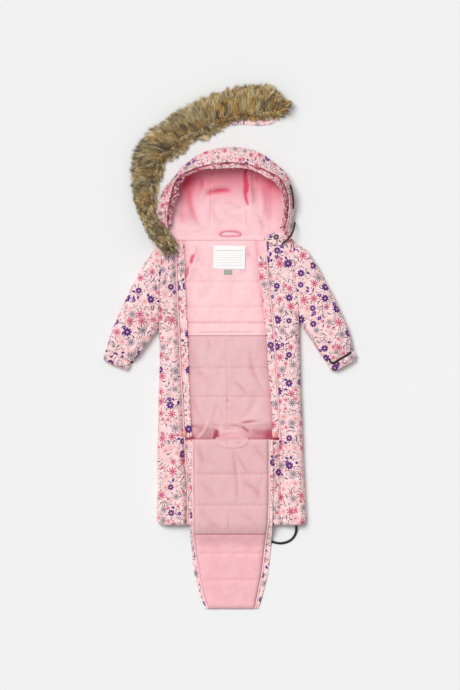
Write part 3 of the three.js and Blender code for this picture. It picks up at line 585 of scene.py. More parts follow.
FUR = table("ox oy ix iy show base", [
    (-171, 692, -150, 685, 0, 25.2),
    (-194, 716, -146, 704, 0, 26),
    (-212, 739, -155, 731, 0, 24),
    (-226, 775, -181, 766, 0, 12),
    (-239, 815, -188, 800, 2, 2.5),
    (-244, 860, -188, 838, 3, 0),
    (-242, 910, -175, 890, 4, 0),
    (-229, 951, -158, 921, 3, 0),
    (-198, 989, -126, 940, 3, 0),
    (-151, 1026, -102, 965, 2, 0),
    (-108, 1052, -62, 978, 3, 0),
    (-58, 1074, -35, 995, 4, 0),
    (-18, 1085, -2, 1009, 12, 0),
    (22, 1098, 35, 1018, 17, 0),
    (62, 1102, 68, 1019, 20, 0),
    (98, 1099, 102, 1022, 20, 0),
    (122, 1078, 122, 1028, 14, 0),
    (139, 1058, 134, 1040, 2, 0),
])

# %% [markdown]
# The next functions read a table between its rows and round the edges of a wall.

# %% Reading the tables and rounding edges
def across(rows, name, y):
    """A column at a height, straight between its rows."""
    return np.interp(-np.asarray(y, float), -rows["y"], rows[name])


def along(rows, t):
    """Smooth values a share t of the way through a table: Catmull and Rom's cubic on four rows."""
    t = np.asarray(t, float)
    count = len(next(iter(rows.values())))
    s = np.clip(t, 0, 1) * (count - 1)
    i = np.minimum(s.astype(int), count - 2)
    f = s - i
    weights = [(-f + 2 * f**2 - f**3) / 2, (2 - 5 * f**2 + 3 * f**3) / 2,
               (f + 4 * f**2 - 3 * f**3) / 2, (f**3 - f**2) / 2]
    near = [np.clip(i + k, 0, count - 1) for k in (-1, 0, 1, 2)]
    return {name: sum(w * column[k] for w, k in zip(weights, near)) for name, column in rows.items()}


def mix(a, b, f):
    return a + (b - a) * f


def ease(f):
    """3 f^2 - 2 f^3 on 0 to 1, flat outside."""
    f = np.clip(f, 0, 1)
    return f * f * (3 - 2 * f)


def puff(d, r):
    """A quarter circle's rise: 0 at the edge, 1 once d reaches r."""
    return np.sqrt(np.clip(1 - (1 - np.clip(d / r, 0, 1)) ** 2, 0, 1))


def bell(d, width):
    """exp(-(d / width)^2)."""
    return np.exp(-((d / width) ** 2))


def edge_steps(count, gather=0.6):
    """Shares from 0 to 1, closer together at both ends."""
    s = np.linspace(0, 1, count)
    return mix(s, (1 - np.cos(np.pi * s)) / 2, gather)


# %% [markdown]
# ## Folds, puckers and lumps
#
# Worn and padded cloth is never even. A fold here is a soft trough along a slightly bent line, with a
# ridge beside it, and fades at both ends. Its place comes from a short table for each region. Puckers
# are small ripples along a seam that was pulled tight, and lumps are the slow swell of the padding.

# %% Soft relief
def folds(x, y, rows):
    """Sum of troughs. For each row: o is the distance from the bent line, s the share along it, and
    the relief is depth * (0.55 * bell(o - 1.9 width) - bell(o)) * sin(pi s) ** 0.6."""
    total = np.zeros(np.broadcast(x, y).shape)
    for x1, y1, x2, y2, bend, width, depth in rows:
        dx, dy = x2 - x1, y2 - y1
        length = math.hypot(dx, dy)
        s = ((x - x1) * dx + (y - y1) * dy) / length**2
        o = ((y - y1) * dx - (x - x1) * dy) / length - bend * 4 * s * (1 - s)
        fade = np.sin(np.pi * np.clip(s, 0, 1)) ** 0.6 * (np.abs(s - 0.5) < 0.5)
        total += depth * fade * (0.55 * bell(o - 1.9 * width, 1.5 * width) - bell(o, width))
    return total


def ripple(s, wave, seed):
    """An uneven ripple along a seam: three sines whose phases wander."""
    q = 2 * np.pi * s / wave
    return (np.sin(q + 1.7 * np.sin(q * 0.23 + seed)) + 0.6 * np.sin(1.63 * q + seed * 2.1)
            + 0.4 * np.sin(2.37 * q + 4 * seed)) / 1.6


def lumps(x, y, seed, wave=46.0):
    """Slow swell of the padding: products of sines in turned directions, about -1 to 1."""
    k = 2 * np.pi / wave
    a = np.sin(k * (0.9 * x + 0.35 * y) + seed) * np.sin(k * (0.8 * y - 0.3 * x) + 2 * seed)
    b = np.sin(k * (1.7 * x - 0.9 * y) + 3 * seed) * np.sin(k * (1.5 * y + 0.7 * x) + 1.3 * seed)
    return a + 0.5 * b


# %% [markdown]
# ## From grids to meshes
#
# Every piece of cloth is a closed wall between two grids of points: its upper side and its under
# side, joined round the edges. One function builds the mesh, turns its faces outwards, and lays a
# flat map of the cloth on it, measured along the grid's own rows and columns.

# %% Building walls
def lay_flat(grid, row=None, spread=1.0):
    """The cloth's flat map in metres. Each row is laid off by its own length from its middle column,
    along the way that it runs in plan, so that turned rows fan out as they lie. Where a row's number
    is given, the columns are laid off instead by their own lengths from that row, and that row's
    length, times the gathers' spread, runs sideways."""
    if row is not None:
        down = np.concatenate([np.zeros((1, grid.shape[1])),
                               np.cumsum(np.linalg.norm(np.diff(grid, axis=0), axis=2), axis=0)])
        side = np.concatenate([[0], np.cumsum(np.linalg.norm(np.diff(grid[row], axis=0), axis=1))])
        return np.stack([side[None] * spread + 0 * down, down - down[row][None]], axis=2) / 1000
    across_steps = np.linalg.norm(np.diff(grid, axis=1), axis=2)
    u = np.concatenate([np.zeros((len(grid), 1)), np.cumsum(across_steps, axis=1)], axis=1)
    middle = grid.shape[1] // 2
    u = (u - u[:, middle:middle + 1])[..., None]
    quarter = grid.shape[1] // 8 + 1
    way = (grid[:, middle + quarter] - grid[:, middle - quarter])[:, None, :2]
    way = way / np.linalg.norm(way, axis=2, keepdims=True)
    return (grid[:, middle][:, None, :2] + way * u) / 1000


def quads(a, b, c, d):
    return np.stack([a, b, c, d], axis=-1).reshape(-1, 4)


def put_mesh(name, points, faces, material, corner_uv=None, sharp=55, deep=None):
    """A mesh object at the origin from arrays: points in metres, four-cornered faces, flat map, and
    how much painted shade each point gets, as the attribute "deep"."""
    mesh = bpy.data.meshes.new(name)
    mesh.vertices.add(len(points))
    mesh.vertices.foreach_set("co", np.ascontiguousarray(points, np.float32).ravel())
    mesh.loops.add(faces.size)
    mesh.loops.foreach_set("vertex_index", faces.ravel().astype(np.int32))
    mesh.polygons.add(len(faces))
    mesh.polygons.foreach_set("loop_start", np.arange(0, faces.size, faces.shape[1], dtype=np.int32))
    mesh.polygons.foreach_set("use_smooth", np.ones(len(faces), bool))
    mesh.update(calc_edges=True)
    if corner_uv is not None:
        layer = mesh.uv_layers.new(name="cloth")
        layer.data.foreach_set("uv", np.ascontiguousarray(corner_uv, np.float32).ravel())
    if deep is not None:
        caught = mesh.attributes.new("deep", "FLOAT", "POINT")
        caught.data.foreach_set("value", np.ascontiguousarray(deep, np.float32).ravel())
    mesh.validate()
    mesh.set_sharp_from_angle(angle=math.radians(sharp))
    mesh.materials.append(material)
    made = bpy.data.objects.new(name, mesh)
    bpy.context.scene.collection.objects.link(made)
    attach(made, "root")
    return made


def wall(name, outer, inner, material, ring=False, flat=None, shift=(0, 0), deep=None):
    """The closed wall between two grids. The columns of a ring close on themselves. The signed
    volume, the sum of a . (b x c) over the faces' triangles, tells which way the faces point."""
    rows, cols = outer.shape[:2]
    points = np.concatenate([outer.reshape(-1, 3), inner.reshape(-1, 3)])
    r, c = np.meshgrid(np.arange(rows - 1), np.arange(cols if ring else cols - 1), indexing="ij")
    e = np.arange(cols if ring else cols - 1)
    wide = cols + 1 if ring else cols

    def faces_of(width, turn):
        def at(side, row, col):
            return (side * rows + row) * width + (col % cols if turn else col)
        parts = [
            quads(at(0, r, c), at(0, r, c + 1), at(0, r + 1, c + 1), at(0, r + 1, c)),
            quads(at(1, r, c), at(1, r + 1, c), at(1, r + 1, c + 1), at(1, r, c + 1)),
            quads(at(0, 0, e), at(1, 0, e), at(1, 0, e + 1), at(0, 0, e + 1)),
            quads(at(0, rows - 1, e), at(0, rows - 1, e + 1), at(1, rows - 1, e + 1), at(1, rows - 1, e)),
        ]
        if not ring:
            k = np.arange(rows - 1)
            parts.append(quads(at(0, k, 0), at(0, k + 1, 0), at(1, k + 1, 0), at(1, k, 0)))
            far = cols - 1
            parts.append(quads(at(0, k, far), at(1, k, far), at(1, k + 1, far), at(0, k + 1, far)))
        return np.concatenate(parts)

    faces = faces_of(cols, True)
    a, b, cc, d = (points[faces[:, i]] for i in range(4))
    volume = np.einsum("ij,ij->", a, np.cross(b, cc)) + np.einsum("ij,ij->", a, np.cross(cc, d))
    if flat is None:
        flat = lay_flat(np.concatenate([outer, outer[:, :1]], axis=1) if ring else outer)
    flat = flat + np.array(shift)
    uv = np.concatenate([flat.reshape(-1, 2), flat.reshape(-1, 2)])
    uv_faces = faces_of(wide, False)
    if volume < 0:
        faces, uv_faces = faces[:, ::-1], uv_faces[:, ::-1]
    # painted shade, clipped to 0 to 1, on the upper grid only
    if deep is not None:
        deep = np.concatenate([np.clip(deep, 0, 1).ravel(), np.zeros(rows * cols)])
    return put_mesh(name, to_row(points), faces, material, uv[uv_faces.ravel()], deep=deep)


def heights(x, y, top, bottom):
    """Upper and under grid of a sheet from its plan and its two heights."""
    return np.stack([x, y, top], axis=2), np.stack([x, y, bottom + np.zeros_like(x)], axis=2)


def plan(left, right, ys, count, gather=0.6):
    """Plan of a sheet between two edges that change with height: rows at ys, count columns."""
    y = np.asarray(ys, float)[:, None] + np.zeros((1, count))
    x = mix(left(y), right(y), edge_steps(count, gather)[None, :])
    return x, y


def spaced(high, low, pitch, gather=0.25):
    """Heights from high to low about a pitch apart, closer at the ends."""
    count = max(int(abs(high - low) / pitch) + 2, 6)
    return mix(high, low, edge_steps(count, gather))


def cut_size(grid):
    """The cloth's cut: the mean length of its rows and of its columns, and its area, in metres."""
    wide = np.linalg.norm(np.diff(grid, axis=1), axis=2).sum(1).mean() / 1000
    long = np.linalg.norm(np.diff(grid, axis=0), axis=2).sum(0).mean() / 1000
    a, b = np.diff(grid, axis=1)[:-1], np.diff(grid, axis=0)[:, :-1]
    area = np.linalg.norm(np.cross(a, b), axis=2).sum() / 1e6
    return wide, long, area


def declare_sheet(piece, grid):
    wide, long, area = cut_size(grid)
    if min(wide, long) < 0.01:
        print(f"{piece.name}: too narrow to be a sheet")
        return
    print(f"{piece.name}: cut {wide * 1000:.0f} x {long * 1000:.0f} mm")


# %% [markdown]
# ## The two free elastics
#
# Two black elastics are free cords: the hood's cord that hangs in a bow from the brim to the chin
# corner, and the strap under the right boot, which goes round behind the folded panel. They are made
# first, as tubes round a smooth route. A ring of points is carried along the route, with the route's
# own direction and a sideways axis for each ring.

# %% Cords
def smooth_route(points, count):
    """A smooth route through points: Catmull and Rom's cubic, then evenly spaced by length."""
    rows = table("x y z", points)
    fine = np.stack(list(along(rows, np.linspace(0, 1, 600)).values()), axis=1)
    far = np.concatenate([[0], np.cumsum(np.linalg.norm(np.diff(fine, axis=0), axis=1))])
    at = np.linspace(0, far[-1], count)
    return np.stack([np.interp(at, far, fine[:, k]) for k in range(3)], axis=1), far[-1]


def tube(route, width, thick, sides):
    """Rings round a route: centre + a * width/2 * side + b * thick/2 * over, with closed ends."""
    way = np.gradient(route, axis=0)
    way /= np.linalg.norm(way, axis=1, keepdims=True)
    side = np.cross(way, [0, 0, 1.0])
    side /= np.maximum(np.linalg.norm(side, axis=1, keepdims=True), 1e-9)
    over = np.cross(side, way)
    angle = 2 * np.pi * (np.arange(sides) + 0.5) / sides
    shape = np.sign(np.cos(angle)) * np.abs(np.cos(angle)) ** (0.6 if width > thick else 1)
    ring = (side[:, None] * (shape * width / 2)[None, :, None]
            + over[:, None] * (np.sin(angle) * thick / 2)[None, :, None])
    return route[:, None] + ring


def put_tube(name, rings, material):
    """A closed tube: quads between rings, and a fan to a middle point at each end."""
    count, sides = rings.shape[:2]
    points = np.concatenate([rings.reshape(-1, 3), rings[0].mean(0)[None], rings[-1].mean(0)[None]])
    r, c = np.meshgrid(np.arange(count - 1), np.arange(sides), indexing="ij")
    far = (c + 1) % sides
    faces = [tuple(f) for f in quads(r * sides + c, (r + 1) * sides + c, (r + 1) * sides + far,
                                     r * sides + far).tolist()]
    start, end = count * sides, count * sides + 1
    faces += [(start, k, (k + 1) % sides) for k in range(sides)]
    faces += [(end, (count - 1) * sides + (k + 1) % sides, (count - 1) * sides + k) for k in range(sides)]
    mesh = bpy.data.meshes.new(name)
    mesh.from_pydata(to_row(points).tolist(), [], faces)
    corner = np.array([to_row(points)[v] for f in faces for v in f])
    a, b, d = corner[0], corner[1], corner[2]
    middle = to_row(rings[0].mean(0) * 0.5 + rings[1].mean(0) * 0.5)
    if np.dot(np.cross(b - a, d - a), a - middle) < 0:
        mesh.flip_normals()
    mesh.polygons.foreach_set("use_smooth", np.ones(len(mesh.polygons), bool))
    mesh.materials.append(material)
    made = bpy.data.objects.new(name, mesh)
    bpy.context.scene.collection.objects.link(made)
    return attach(made, "root")


HOOD_CORD_POINTS_M = [
    (0.165, 0.757, 0.012), (0.1635, 0.747, 0.016), (0.1605, 0.736, 0.0225), (0.1545, 0.724, 0.0285),
    (0.147, 0.7145, 0.031), (0.139, 0.7075, 0.0311), (0.132, 0.7025, 0.0314),
]
BOOT_STRAP_POINTS_M = [
    (0.168, -0.0015, 0.010), (0.1683, -0.009, 0.007), (0.167, -0.019, 0.0026),
    (0.1625, -0.029, 0.0011), (0.153, -0.0385, 0.0011), (0.140, -0.044, 0.0011),
    (0.125, -0.0455, 0.0011), (0.108, -0.0415, 0.0011), (0.092, -0.032, 0.0011),
    (0.077, -0.0205, 0.002), (0.0665, -0.0105, 0.006), (0.061, -0.0015, 0.010),
]
HOOD_CORD_THICK = 4.5
BOOT_STRAP_WIDE = 6.0
BOOT_STRAP_THICK = 2.0

for cord_name, node_name, points_m, wide, thick, sides in (
    ("hood_elastic", "hood_cord", HOOD_CORD_POINTS_M, HOOD_CORD_THICK, HOOD_CORD_THICK, 16),
    ("boot_elastic", "boot_strap", BOOT_STRAP_POINTS_M, BOOT_STRAP_WIDE, BOOT_STRAP_THICK, 16),
):
    route, long = smooth_route(np.array(points_m) * 1000, 60)
    strap = put_tube(cord_name, tube(route, wide, thick, sides), black_elastic)
    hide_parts(node_name)
    print(cord_name, round(long, 1), "mm")

# %% [markdown]
# ## Heights of the body
#
# The suit lies in layers: the back on the floor, its padded lining, then the two side fronts with
# their zips and wind flaps. The formulas below are the same as the solids', so that each layer rests
# on the one under it.

# %% Layers
GAP = 0.3
CLOTH = 2.0
SEAM_Z = 3.9
NECK_Y = 715.6
CROTCH_Y = 212.0
WAIST_Y = 474.0
ARMPIT_Y = 492.0
LINING_EDGE = 1.6
LINING_PUFF = 7.4
LINING_INSET = 8.0
QUILT_DEPTH = 3.2
QUILT_REACH = 14.0
FRONT_TOP = 24.5
EDGE_ROUND = 16.0
ZIP_DIP = 8.5
HEM_CORNER = (8.0, 11.0)
ZIP_ROUND = 14.0
ZIP_HALF = 1.9
FLAP_Z = 12.1
FLAP_THICK = 2.4
LEG_GAP_X = 7.5
FLAP_ENDS = {"left": 702.0, "right": 671.0}
LEFT, RIGHT = -1, 1


def side_edge(side, y):
    """The side seam, with the hem's corner rounded by a quarter of an ellipse."""
    corner = 1 - np.sqrt(1 - np.clip(1 - np.asarray(y, float) / HEM_CORNER[1], 0, 1) ** 2)
    return across(BODY, "side1" if side == LEFT else "side2", y) - side * HEM_CORNER[0] * corner


def zip_line(side, y):
    return across(BODY, "zip1" if side == LEFT else "zip2", y)


def open_edge(side, y):
    return across(BODY, "open1" if side == LEFT else "open2", y)


def in_from_side(x, y):
    """How far a point lies inside the nearer side edge."""
    return np.minimum(x - side_edge(LEFT, y), side_edge(RIGHT, y) - x)


def armhole(y):
    """1 beside the armhole and 0 below the armpit."""
    return ease((y - ARMPIT_Y) / 26)


def inside_round(x, y):
    """Rounding of the inside at the side, the shoulder and the inner leg: three quarter circles."""
    side = mix(puff(in_from_side(x, y) - LINING_INSET + 2, ZIP_ROUND), 1, armhole(y))
    leg = np.where(y <= CROTCH_Y, puff(np.abs(x) - LEG_GAP_X - 6, ZIP_ROUND), 1)
    return side * puff(NECK_Y - y - 6, ZIP_ROUND) * leg


def lining_top(x, y):
    return CLOTH + GAP + LINING_EDGE + LINING_PUFF * inside_round(x, y)


def front_bottom(x, y):
    return lining_top(x, y) + GAP + 0.3 * inside_round(x, y)


def front_top(side, x, y):
    """Top of a side front: round at the side and shoulder, falling to the zip and the hem."""
    outer = mix(puff(in_from_side(x, y), EDGE_ROUND), 1, armhole(y)) * puff(NECK_Y - y, 12)
    zip_fall = 1 - puff(np.abs(x - zip_line(side, y)) - ZIP_HALF, ZIP_ROUND)
    top = mix(SEAM_Z + GAP + CLOTH, FRONT_TOP, outer) - ZIP_DIP * zip_fall - 5 * (1 - puff(y, 10))
    return np.maximum(top, front_bottom(x, y) + CLOTH)


def quilting(lines, y):
    """1 away from the stitched lines, falling to 0 on them like a quarter circle."""
    away = np.stack([puff(np.abs(y - line), QUILT_REACH) for line in lines])
    return away.min(0)


# %% [markdown]
# ## Back and linings
#
# The back is a flat sheet on the floor whose side seams stand up a little. On it lie the two quilted
# linings: smooth pink above the waist, rose mesh below. Each stitched line pulls the padding down
# into a groove with small puckers. The folds are those that show in the opening, and the mesh falls
# into two pockets beside the crotch, where the folded panel lifts off it. Their depth shades them,
# and painted shade darkens them further, as it does the folds, the grooves and bands beside the flaps.

# %% The back
def put_back():
    """The back and the legs' backs: a wall that rises from the lining's edge to the side seams."""
    def rise(x, y):
        return mix(CLOTH, SEAM_Z, np.clip((LINING_INSET - 0.5 - in_from_side(x, y)) / 3, 0, 1))
    x, y = plan(lambda y: side_edge(LEFT, y), lambda y: side_edge(RIGHT, y),
                spaced(NECK_Y, CROTCH_Y + GAP, 8), 48, 0.9)
    back = wall("back_cloth", *heights(x, y, rise(x, y), 0 * x), print_cloth)
    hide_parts("back_body")
    declare_sheet(back, heights(x, y, rise(x, y), 0 * x)[1])
    for name, side in (("left", LEFT), ("right", RIGHT)):
        def inner(y):
            return side * LEG_GAP_X + 0 * y
        edges = ((lambda y: side_edge(LEFT, y), inner) if side == LEFT
                 else (inner, lambda y: side_edge(RIGHT, y)))
        x, y = plan(*edges, spaced(CROTCH_Y, 0, 6), 32, 0.9)
        top = SEAM_Z + 4.6 * inside_round(x, y)
        leg = wall(f"leg_back_cloth_{name}", *heights(x, y, top, 0 * x), print_cloth, shift=(0.31, 0.4))
        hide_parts(f"leg_back_{name}")


put_back()

# %% [markdown]
# A quilted lining is highest between two seams and sinks to its edge's thickness at each.

# %% The quilted linings
MESH_QUILTS = (393.0, 321.0, 248.0)
PINK_QUILTS = (608.0, 545.0, 506.0)
TAPE_FOOT = 6.7
UPPER_FOLDS = [
    (-86, 678, -94, 652, -2, 3.4, 3.8), (-103, 646, -110, 612, 2, 4.0, 3.6), (-98, 646, -60, 604, 6, 7, 1.5),
    (-72, 706, -62, 640, -5, 8, 1.3), (-30, 630, -78, 560, 8, 10, 1.0), (40, 690, 66, 640, 5, 7, 1.4),
    (58, 700, 40, 610, -7, 9, 1.2), (70, 590, 30, 520, 6, 10, 0.9), (-95, 560, -50, 500, -8, 9, 0.9),
    (-6, 505, -8, 478, 0, 2.2, 1.5), (-100, 480, 90, 481, 0, 3, 1.2), (20, 640, 5, 560, -5, 12, 0.8),
]
# creases drawn only as painted shade in the pink lining; its relief comes from UPPER_FOLDS
UPPER_PAINTED_CREASES = [
    (-86, 676, -94, 652, -2, 4.2, 1.0), (-102, 648, -109, 614, 2, 3.6, 0.7),
    (-80, 700, -103, 642, 5, 5.0, 0.3),
    (-110, 612, -111, 548, 0, 3.0, 0.4), (-70, 690, -64, 640, 4, 5.0, 0.12),
]
MESH_FOLDS = [
    (8.5, 360, 46.5, 321, 5, 4, 2.2), (52, 446, 92, 324, -10, 6, 2.0), (-54, 472, -50, 434, 3, 5, 1.6),
    (-92, 392, -40, 338, 8, 9, 1.1), (70, 330, 30, 262, 6, 8, 1.2), (-88, 318, -60, 262, -6, 8, 1.2),
    (-30, 312, -44, 262, 4, 6, 1.3), (-6, 473, -1, 232, 0, 2.4, 1.5), (-20, 300, -12, 270, 0, 3, 1.4),
    (-80, 214, -52, 257, -6, 5, -3.6), (-54, 256, -26, 238, -4, 4, -3.2), (-33, 242, -30, 214, 2, 6, 6.5),
    (-64, 212, -54, 246, -2, 2.4, 1.8), (-52, 212, -44, 246, -2, 2.4, 1.8), (-96, 246, -70, 240, 2, 4, 2.4),
    (28, 253, 74, 257, 3, 3.2, 3.6), (50, 232, 108, 226, 3, 13, 2.4), (100, 256, 104, 214, 0, 10, 1.8),
    (-24, 226, 22, 230, 5, 4, -2.8), (20, 240, 46, 224, 3, 3.4, -3.4), (30, 246, 52, 228, 3, 3, 3.2),
    (4, 250, 30, 240, 3, 3, 2.4), (-6, 316, 1, 306, 0, 2.4, 2.2),
    (60, 440, 74, 400, 3, 5, 1.2), (-96, 440, -70, 360, 6, 9, 0.9),
]


def put_linings():
    """The pink and the mesh lining of the back, puffed between their quilting seams."""
    def left(y):
        return side_edge(LEFT, y) + LINING_INSET

    def right(y):
        return side_edge(RIGHT, y) - LINING_INSET

    floor_z = CLOTH + GAP
    for name, high, low, lines, rows, material in (
        ("upper", NECK_Y - 0.6, WAIST_Y, PINK_QUILTS, UPPER_FOLDS, upper_pink),
        ("lower", WAIST_Y - GAP, CROTCH_Y + GAP, MESH_QUILTS, MESH_FOLDS, rose_mesh),
    ):
        x, y = plan(left, right, spaced(high, low, 2.3, 0.1), 106, 0.2)
        groove = QUILT_DEPTH * (0.35 if name == "upper" else 0.6)
        top = lining_top(x, y) - groove * inside_round(x, y) * (1 - quilting(lines, y))
        soft = puff(in_from_side(x, y) - 30, 20)
        for line in lines:
            top += 0.5 * soft * bell(y - line, 9) * ripple(x, 11.0, line)
        creases = folds(x, y, rows)
        top += soft * (creases + 0.5 * lumps(x, y, 1.7))
        beside_left = x - open_edge(LEFT, y)
        beside_right = open_edge(RIGHT, y) - x
        # painted shade in the troughs of the folds
        deep = 0.22 * np.clip(-creases / 2.0, 0, 1) + 0.5 * np.clip((-creases - 1.2) / 2.5, 0, 1)
        past = np.where(y > FLAP_ENDS["right"], 6.0, 99.0)
        if name == "upper":
            # painted shade along creases that have no relief
            deep += 1.25 * np.clip(-folds(x, y, UPPER_PAINTED_CREASES), 0, 1)
        # painted shadow in bands beside the free edges of the two wind flaps
        deep += 0.52 * np.exp(-np.maximum(beside_left, -beside_left / past * 6) / 6)
        deep += 0.5 * np.exp(-np.maximum(beside_right, -beside_right / past * 8) / 8)
        # painted shade along the quilting grooves
        for line in lines:
            deep += 0.16 * bell(y - line, 1.8)
        if name == "lower":
            top -= 1.2 * ease((y - WAIST_Y + 30) / 30) + 1.4 * bell(y - WAIST_Y, 3)
            top -= 2.6 * ease((CROTCH_Y + 18 - y) / 18) * soft
            # painted shade towards the crotch edge, at the waist seam and over both sides of the crotch
            deep += 0.3 * ease((CROTCH_Y + 12 - y) / 12) + 0.3 * bell(y - WAIST_Y, 2)
            deep += (0.24 * ease((x - 20) / 40) * ease((258 - y) / 20)
                     + 0.36 * ease((x - 50) / 56) * ease((242 - y) / 28))
            # painted shade in the two pockets beside the crotch, to its left and along two folds
            deep += 0.8 * bell(x + 32, 8) * bell(y - 222, 10) + 0.5 * bell(x + 90, 9) * bell(y - 218, 6)
            deep += 0.4 * bell(x + 50, 20) * ease((250 - y) / 10) * (1 + 0.6 * ripple(x, 6.0, 1.0))
            deep += 0.22 * np.clip(folds(x, y, [(28, 253, 74, 257, 3, 3.2, 1),
                                                (-80, 214, -52, 257, -6, 3, 1)]) * -1, 0, 1)
        else:
            top -= 0.9 * bell(y - WAIST_Y - 31, 2.5) - 0.4 * bell(y - WAIST_Y, 8) * ripple(x, 17.0, 3)
            fill_in = ease((y - 700) / 5)
            top = mix(top, np.minimum(top + LINING_PUFF, TAPE_FOOT), fill_in)
            # painted shade in the groove at the pink lining's hem
            deep += 0.3 * bell(y - WAIST_Y - 31, 1.5)
        low_z = np.where(y < CROTCH_Y + 40, 3.6, 4.4)
        ceiling = lining_top(x, y) + mix(0.0, 3.2, ease((in_from_side(x, y) - 62) / 20))
        if name == "upper":
            ceiling = np.maximum(ceiling, TAPE_FOOT * fill_in)
        top = np.clip(top, np.minimum(low_z, lining_top(x, y)), ceiling)
        made = wall(f"back_lining_{name}_cloth", *heights(x, y, top, floor_z + 0 * x), material, deep=deep)
        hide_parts(f"back_lining_{name}")


put_linings()

# %% [markdown]
# ## Fronts, wind flaps and zips
#
# Each side front is a padded panel. It rounds over at the side seam, dips to the armhole seam, and
# puckers along the zip, where the tape holds it shorter than the padding wants to be. The wind flap
# is a flat double strip inside the zip, whose free edge waves a little.

# %% Fronts
FRONT_FOLDS = {
    "left": [
        (-150, 640, -172, 590, 5, 4, 2.4), (-140, 690, -160, 640, -4, 6, 2.0),
        (-172, 560, -170, 500, 2, 4, 2.2),
        (-146, 560, -166, 520, 3, 6, 1.6), (-136, 470, -164, 440, 3, 6, 1.5),
        (-170, 400, -138, 372, -3, 7, 1.4),
        (-136, 330, -168, 300, 4, 7, 1.6), (-174, 256, -140, 238, 3, 6, 1.5),
        (-112, 214, -103, 140, -3, 4, 3.0),
        (-126, 190, -112, 130, 3, 5, 2.2), (-170, 170, -140, 150, -3, 7, 1.5),
        (-118, 120, -110, 60, 2, 5, 1.8),
        (-150, 90, -172, 60, 3, 6, 1.4), (-132, 40, -122, 6, 0, 5, 1.6), (-160, 30, -152, 4, 0, 6, 1.2),
    ],
    "right": [
        (167, 537, 177, 507, -2, 3.5, 3.2), (160, 697, 154, 686, 0, 2.5, 2.4),
        (128, 660, 150, 620, 5, 7, 1.7),
        (112, 600, 140, 570, -4, 7, 1.4), (150, 560, 168, 530, 3, 5, 1.8), (126, 480, 160, 452, 4, 7, 1.5),
        (172, 410, 134, 380, 4, 8, 1.4), (134, 320, 172, 296, -3, 7, 1.5), (176, 250, 140, 232, 3, 7, 1.4),
        (111, 165, 130, 174, 2, 3.0, 4.2), (114, 146, 113, 164, 2, 3.0, 3.6), (126, 205, 146, 186, 4, 5, 2.6),
        (108, 196, 128, 182, -3, 4, 3.0), (140, 212, 158, 190, 3, 6, 2.0), (116, 130, 112, 60, 3, 5, 1.8),
        (150, 140, 176, 118, -3, 7, 1.5), (134, 90, 160, 60, 4, 7, 1.4), (140, 30, 146, 4, 0, 6, 1.3),
        (122, 44, 118, 8, 0, 5, 1.5),
    ],
}


def put_fronts():
    """The side fronts and the legs' fronts, padded, with their folds as troughs and ridges."""
    for name, side in (("left", LEFT), ("right", RIGHT)):
        def beside(y):
            return zip_line(side, y) + side * (ZIP_HALF + GAP)

        def seam(y):
            return beside(y) if side == LEFT else mix(101, beside(y), ease((y - 198) / 8))

        def outer(y):
            return side_edge(side, y)

        edges = (outer, seam) if side == LEFT else (seam, outer)
        x, y = plan(*edges, spaced(NECK_Y, 0, 2.7, 0.1), 38, 0.75)
        top = front_top(side, x, y)
        bottom = front_bottom(x, y)
        from_zip = np.abs(x - zip_line(side, y))
        from_side = np.abs(x - side_edge(side, y))
        inner_part = puff(from_side, 9) * puff(y, 6) * puff(NECK_Y - y, 8)
        creases = 1.5 * folds(x, y, FRONT_FOLDS[name])
        relief = creases + 1.1 * lumps(x, y, 2.3 + side, 60)
        relief += 0.9 * bell(from_zip - 5, 5) * ripple(y, 13.0, side + 2)
        relief += 0.8 * bell(from_side - 9, 6) * ripple(y, 19.0, side + 5) * (1 - armhole(y))
        relief += 0.7 * bell(y - 8, 7) * ripple(x, 12.0, side + 1)
        relief -= (1.5 * bell(from_side, 4) * armhole(y) + 1.6 * bell(y - 14, 2.2)
                   + 2.2 * bell(from_zip - 3, 7))
        top = np.maximum(top + relief * np.maximum(inner_part, armhole(y)), bottom + 1.2)
        # painted shade in the deeper troughs of the folds
        deep = 0.8 * np.clip((-creases - 1.4) / 3.5, 0, 1)
        made = wall(f"front_cloth_{name}", *heights(x, y, top, bottom), print_cloth, deep=deep)
        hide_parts(f"front_{name}")

        # inner front of the leg, mostly under the folded panel
        if side == LEFT:
            leg_edges = (lambda y: zip_line(LEFT, y) + ZIP_HALF + GAP, lambda y: -LEG_GAP_X + 0 * y)
        else:
            leg_edges = (lambda y: LEG_GAP_X + 0 * y, lambda y: 101 - GAP + 0 * y)
        x, y = plan(*leg_edges, spaced(CROTCH_Y - 1, 0, 4.5, 0.2), 32, 0.75)
        rounded = mix(SEAM_Z + GAP + CLOTH, FRONT_TOP, puff(np.abs(x) - LEG_GAP_X, EDGE_ROUND))
        bottom = front_bottom(x, y)
        relief = np.minimum(folds(x, y, FRONT_FOLDS[name]) + 0.6 * bell(y - 8, 7) * ripple(x, 12.0, side),
                            0.0)
        top = np.maximum(np.minimum(front_top(side, x, y), rounded) + relief, bottom + 1.2)
        leg = wall(f"leg_front_cloth_{name}", *heights(x, y, top, bottom), print_cloth, shift=(0.21, 0.9))
        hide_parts(f"leg_front_{name}")


put_fronts()

# %% [markdown]
# A wind flap is a narrow folded strip inside its zip, which keeps the wind out of a closed suit.

# %% Wind flaps
FLAP_LOW_Y = 219.0


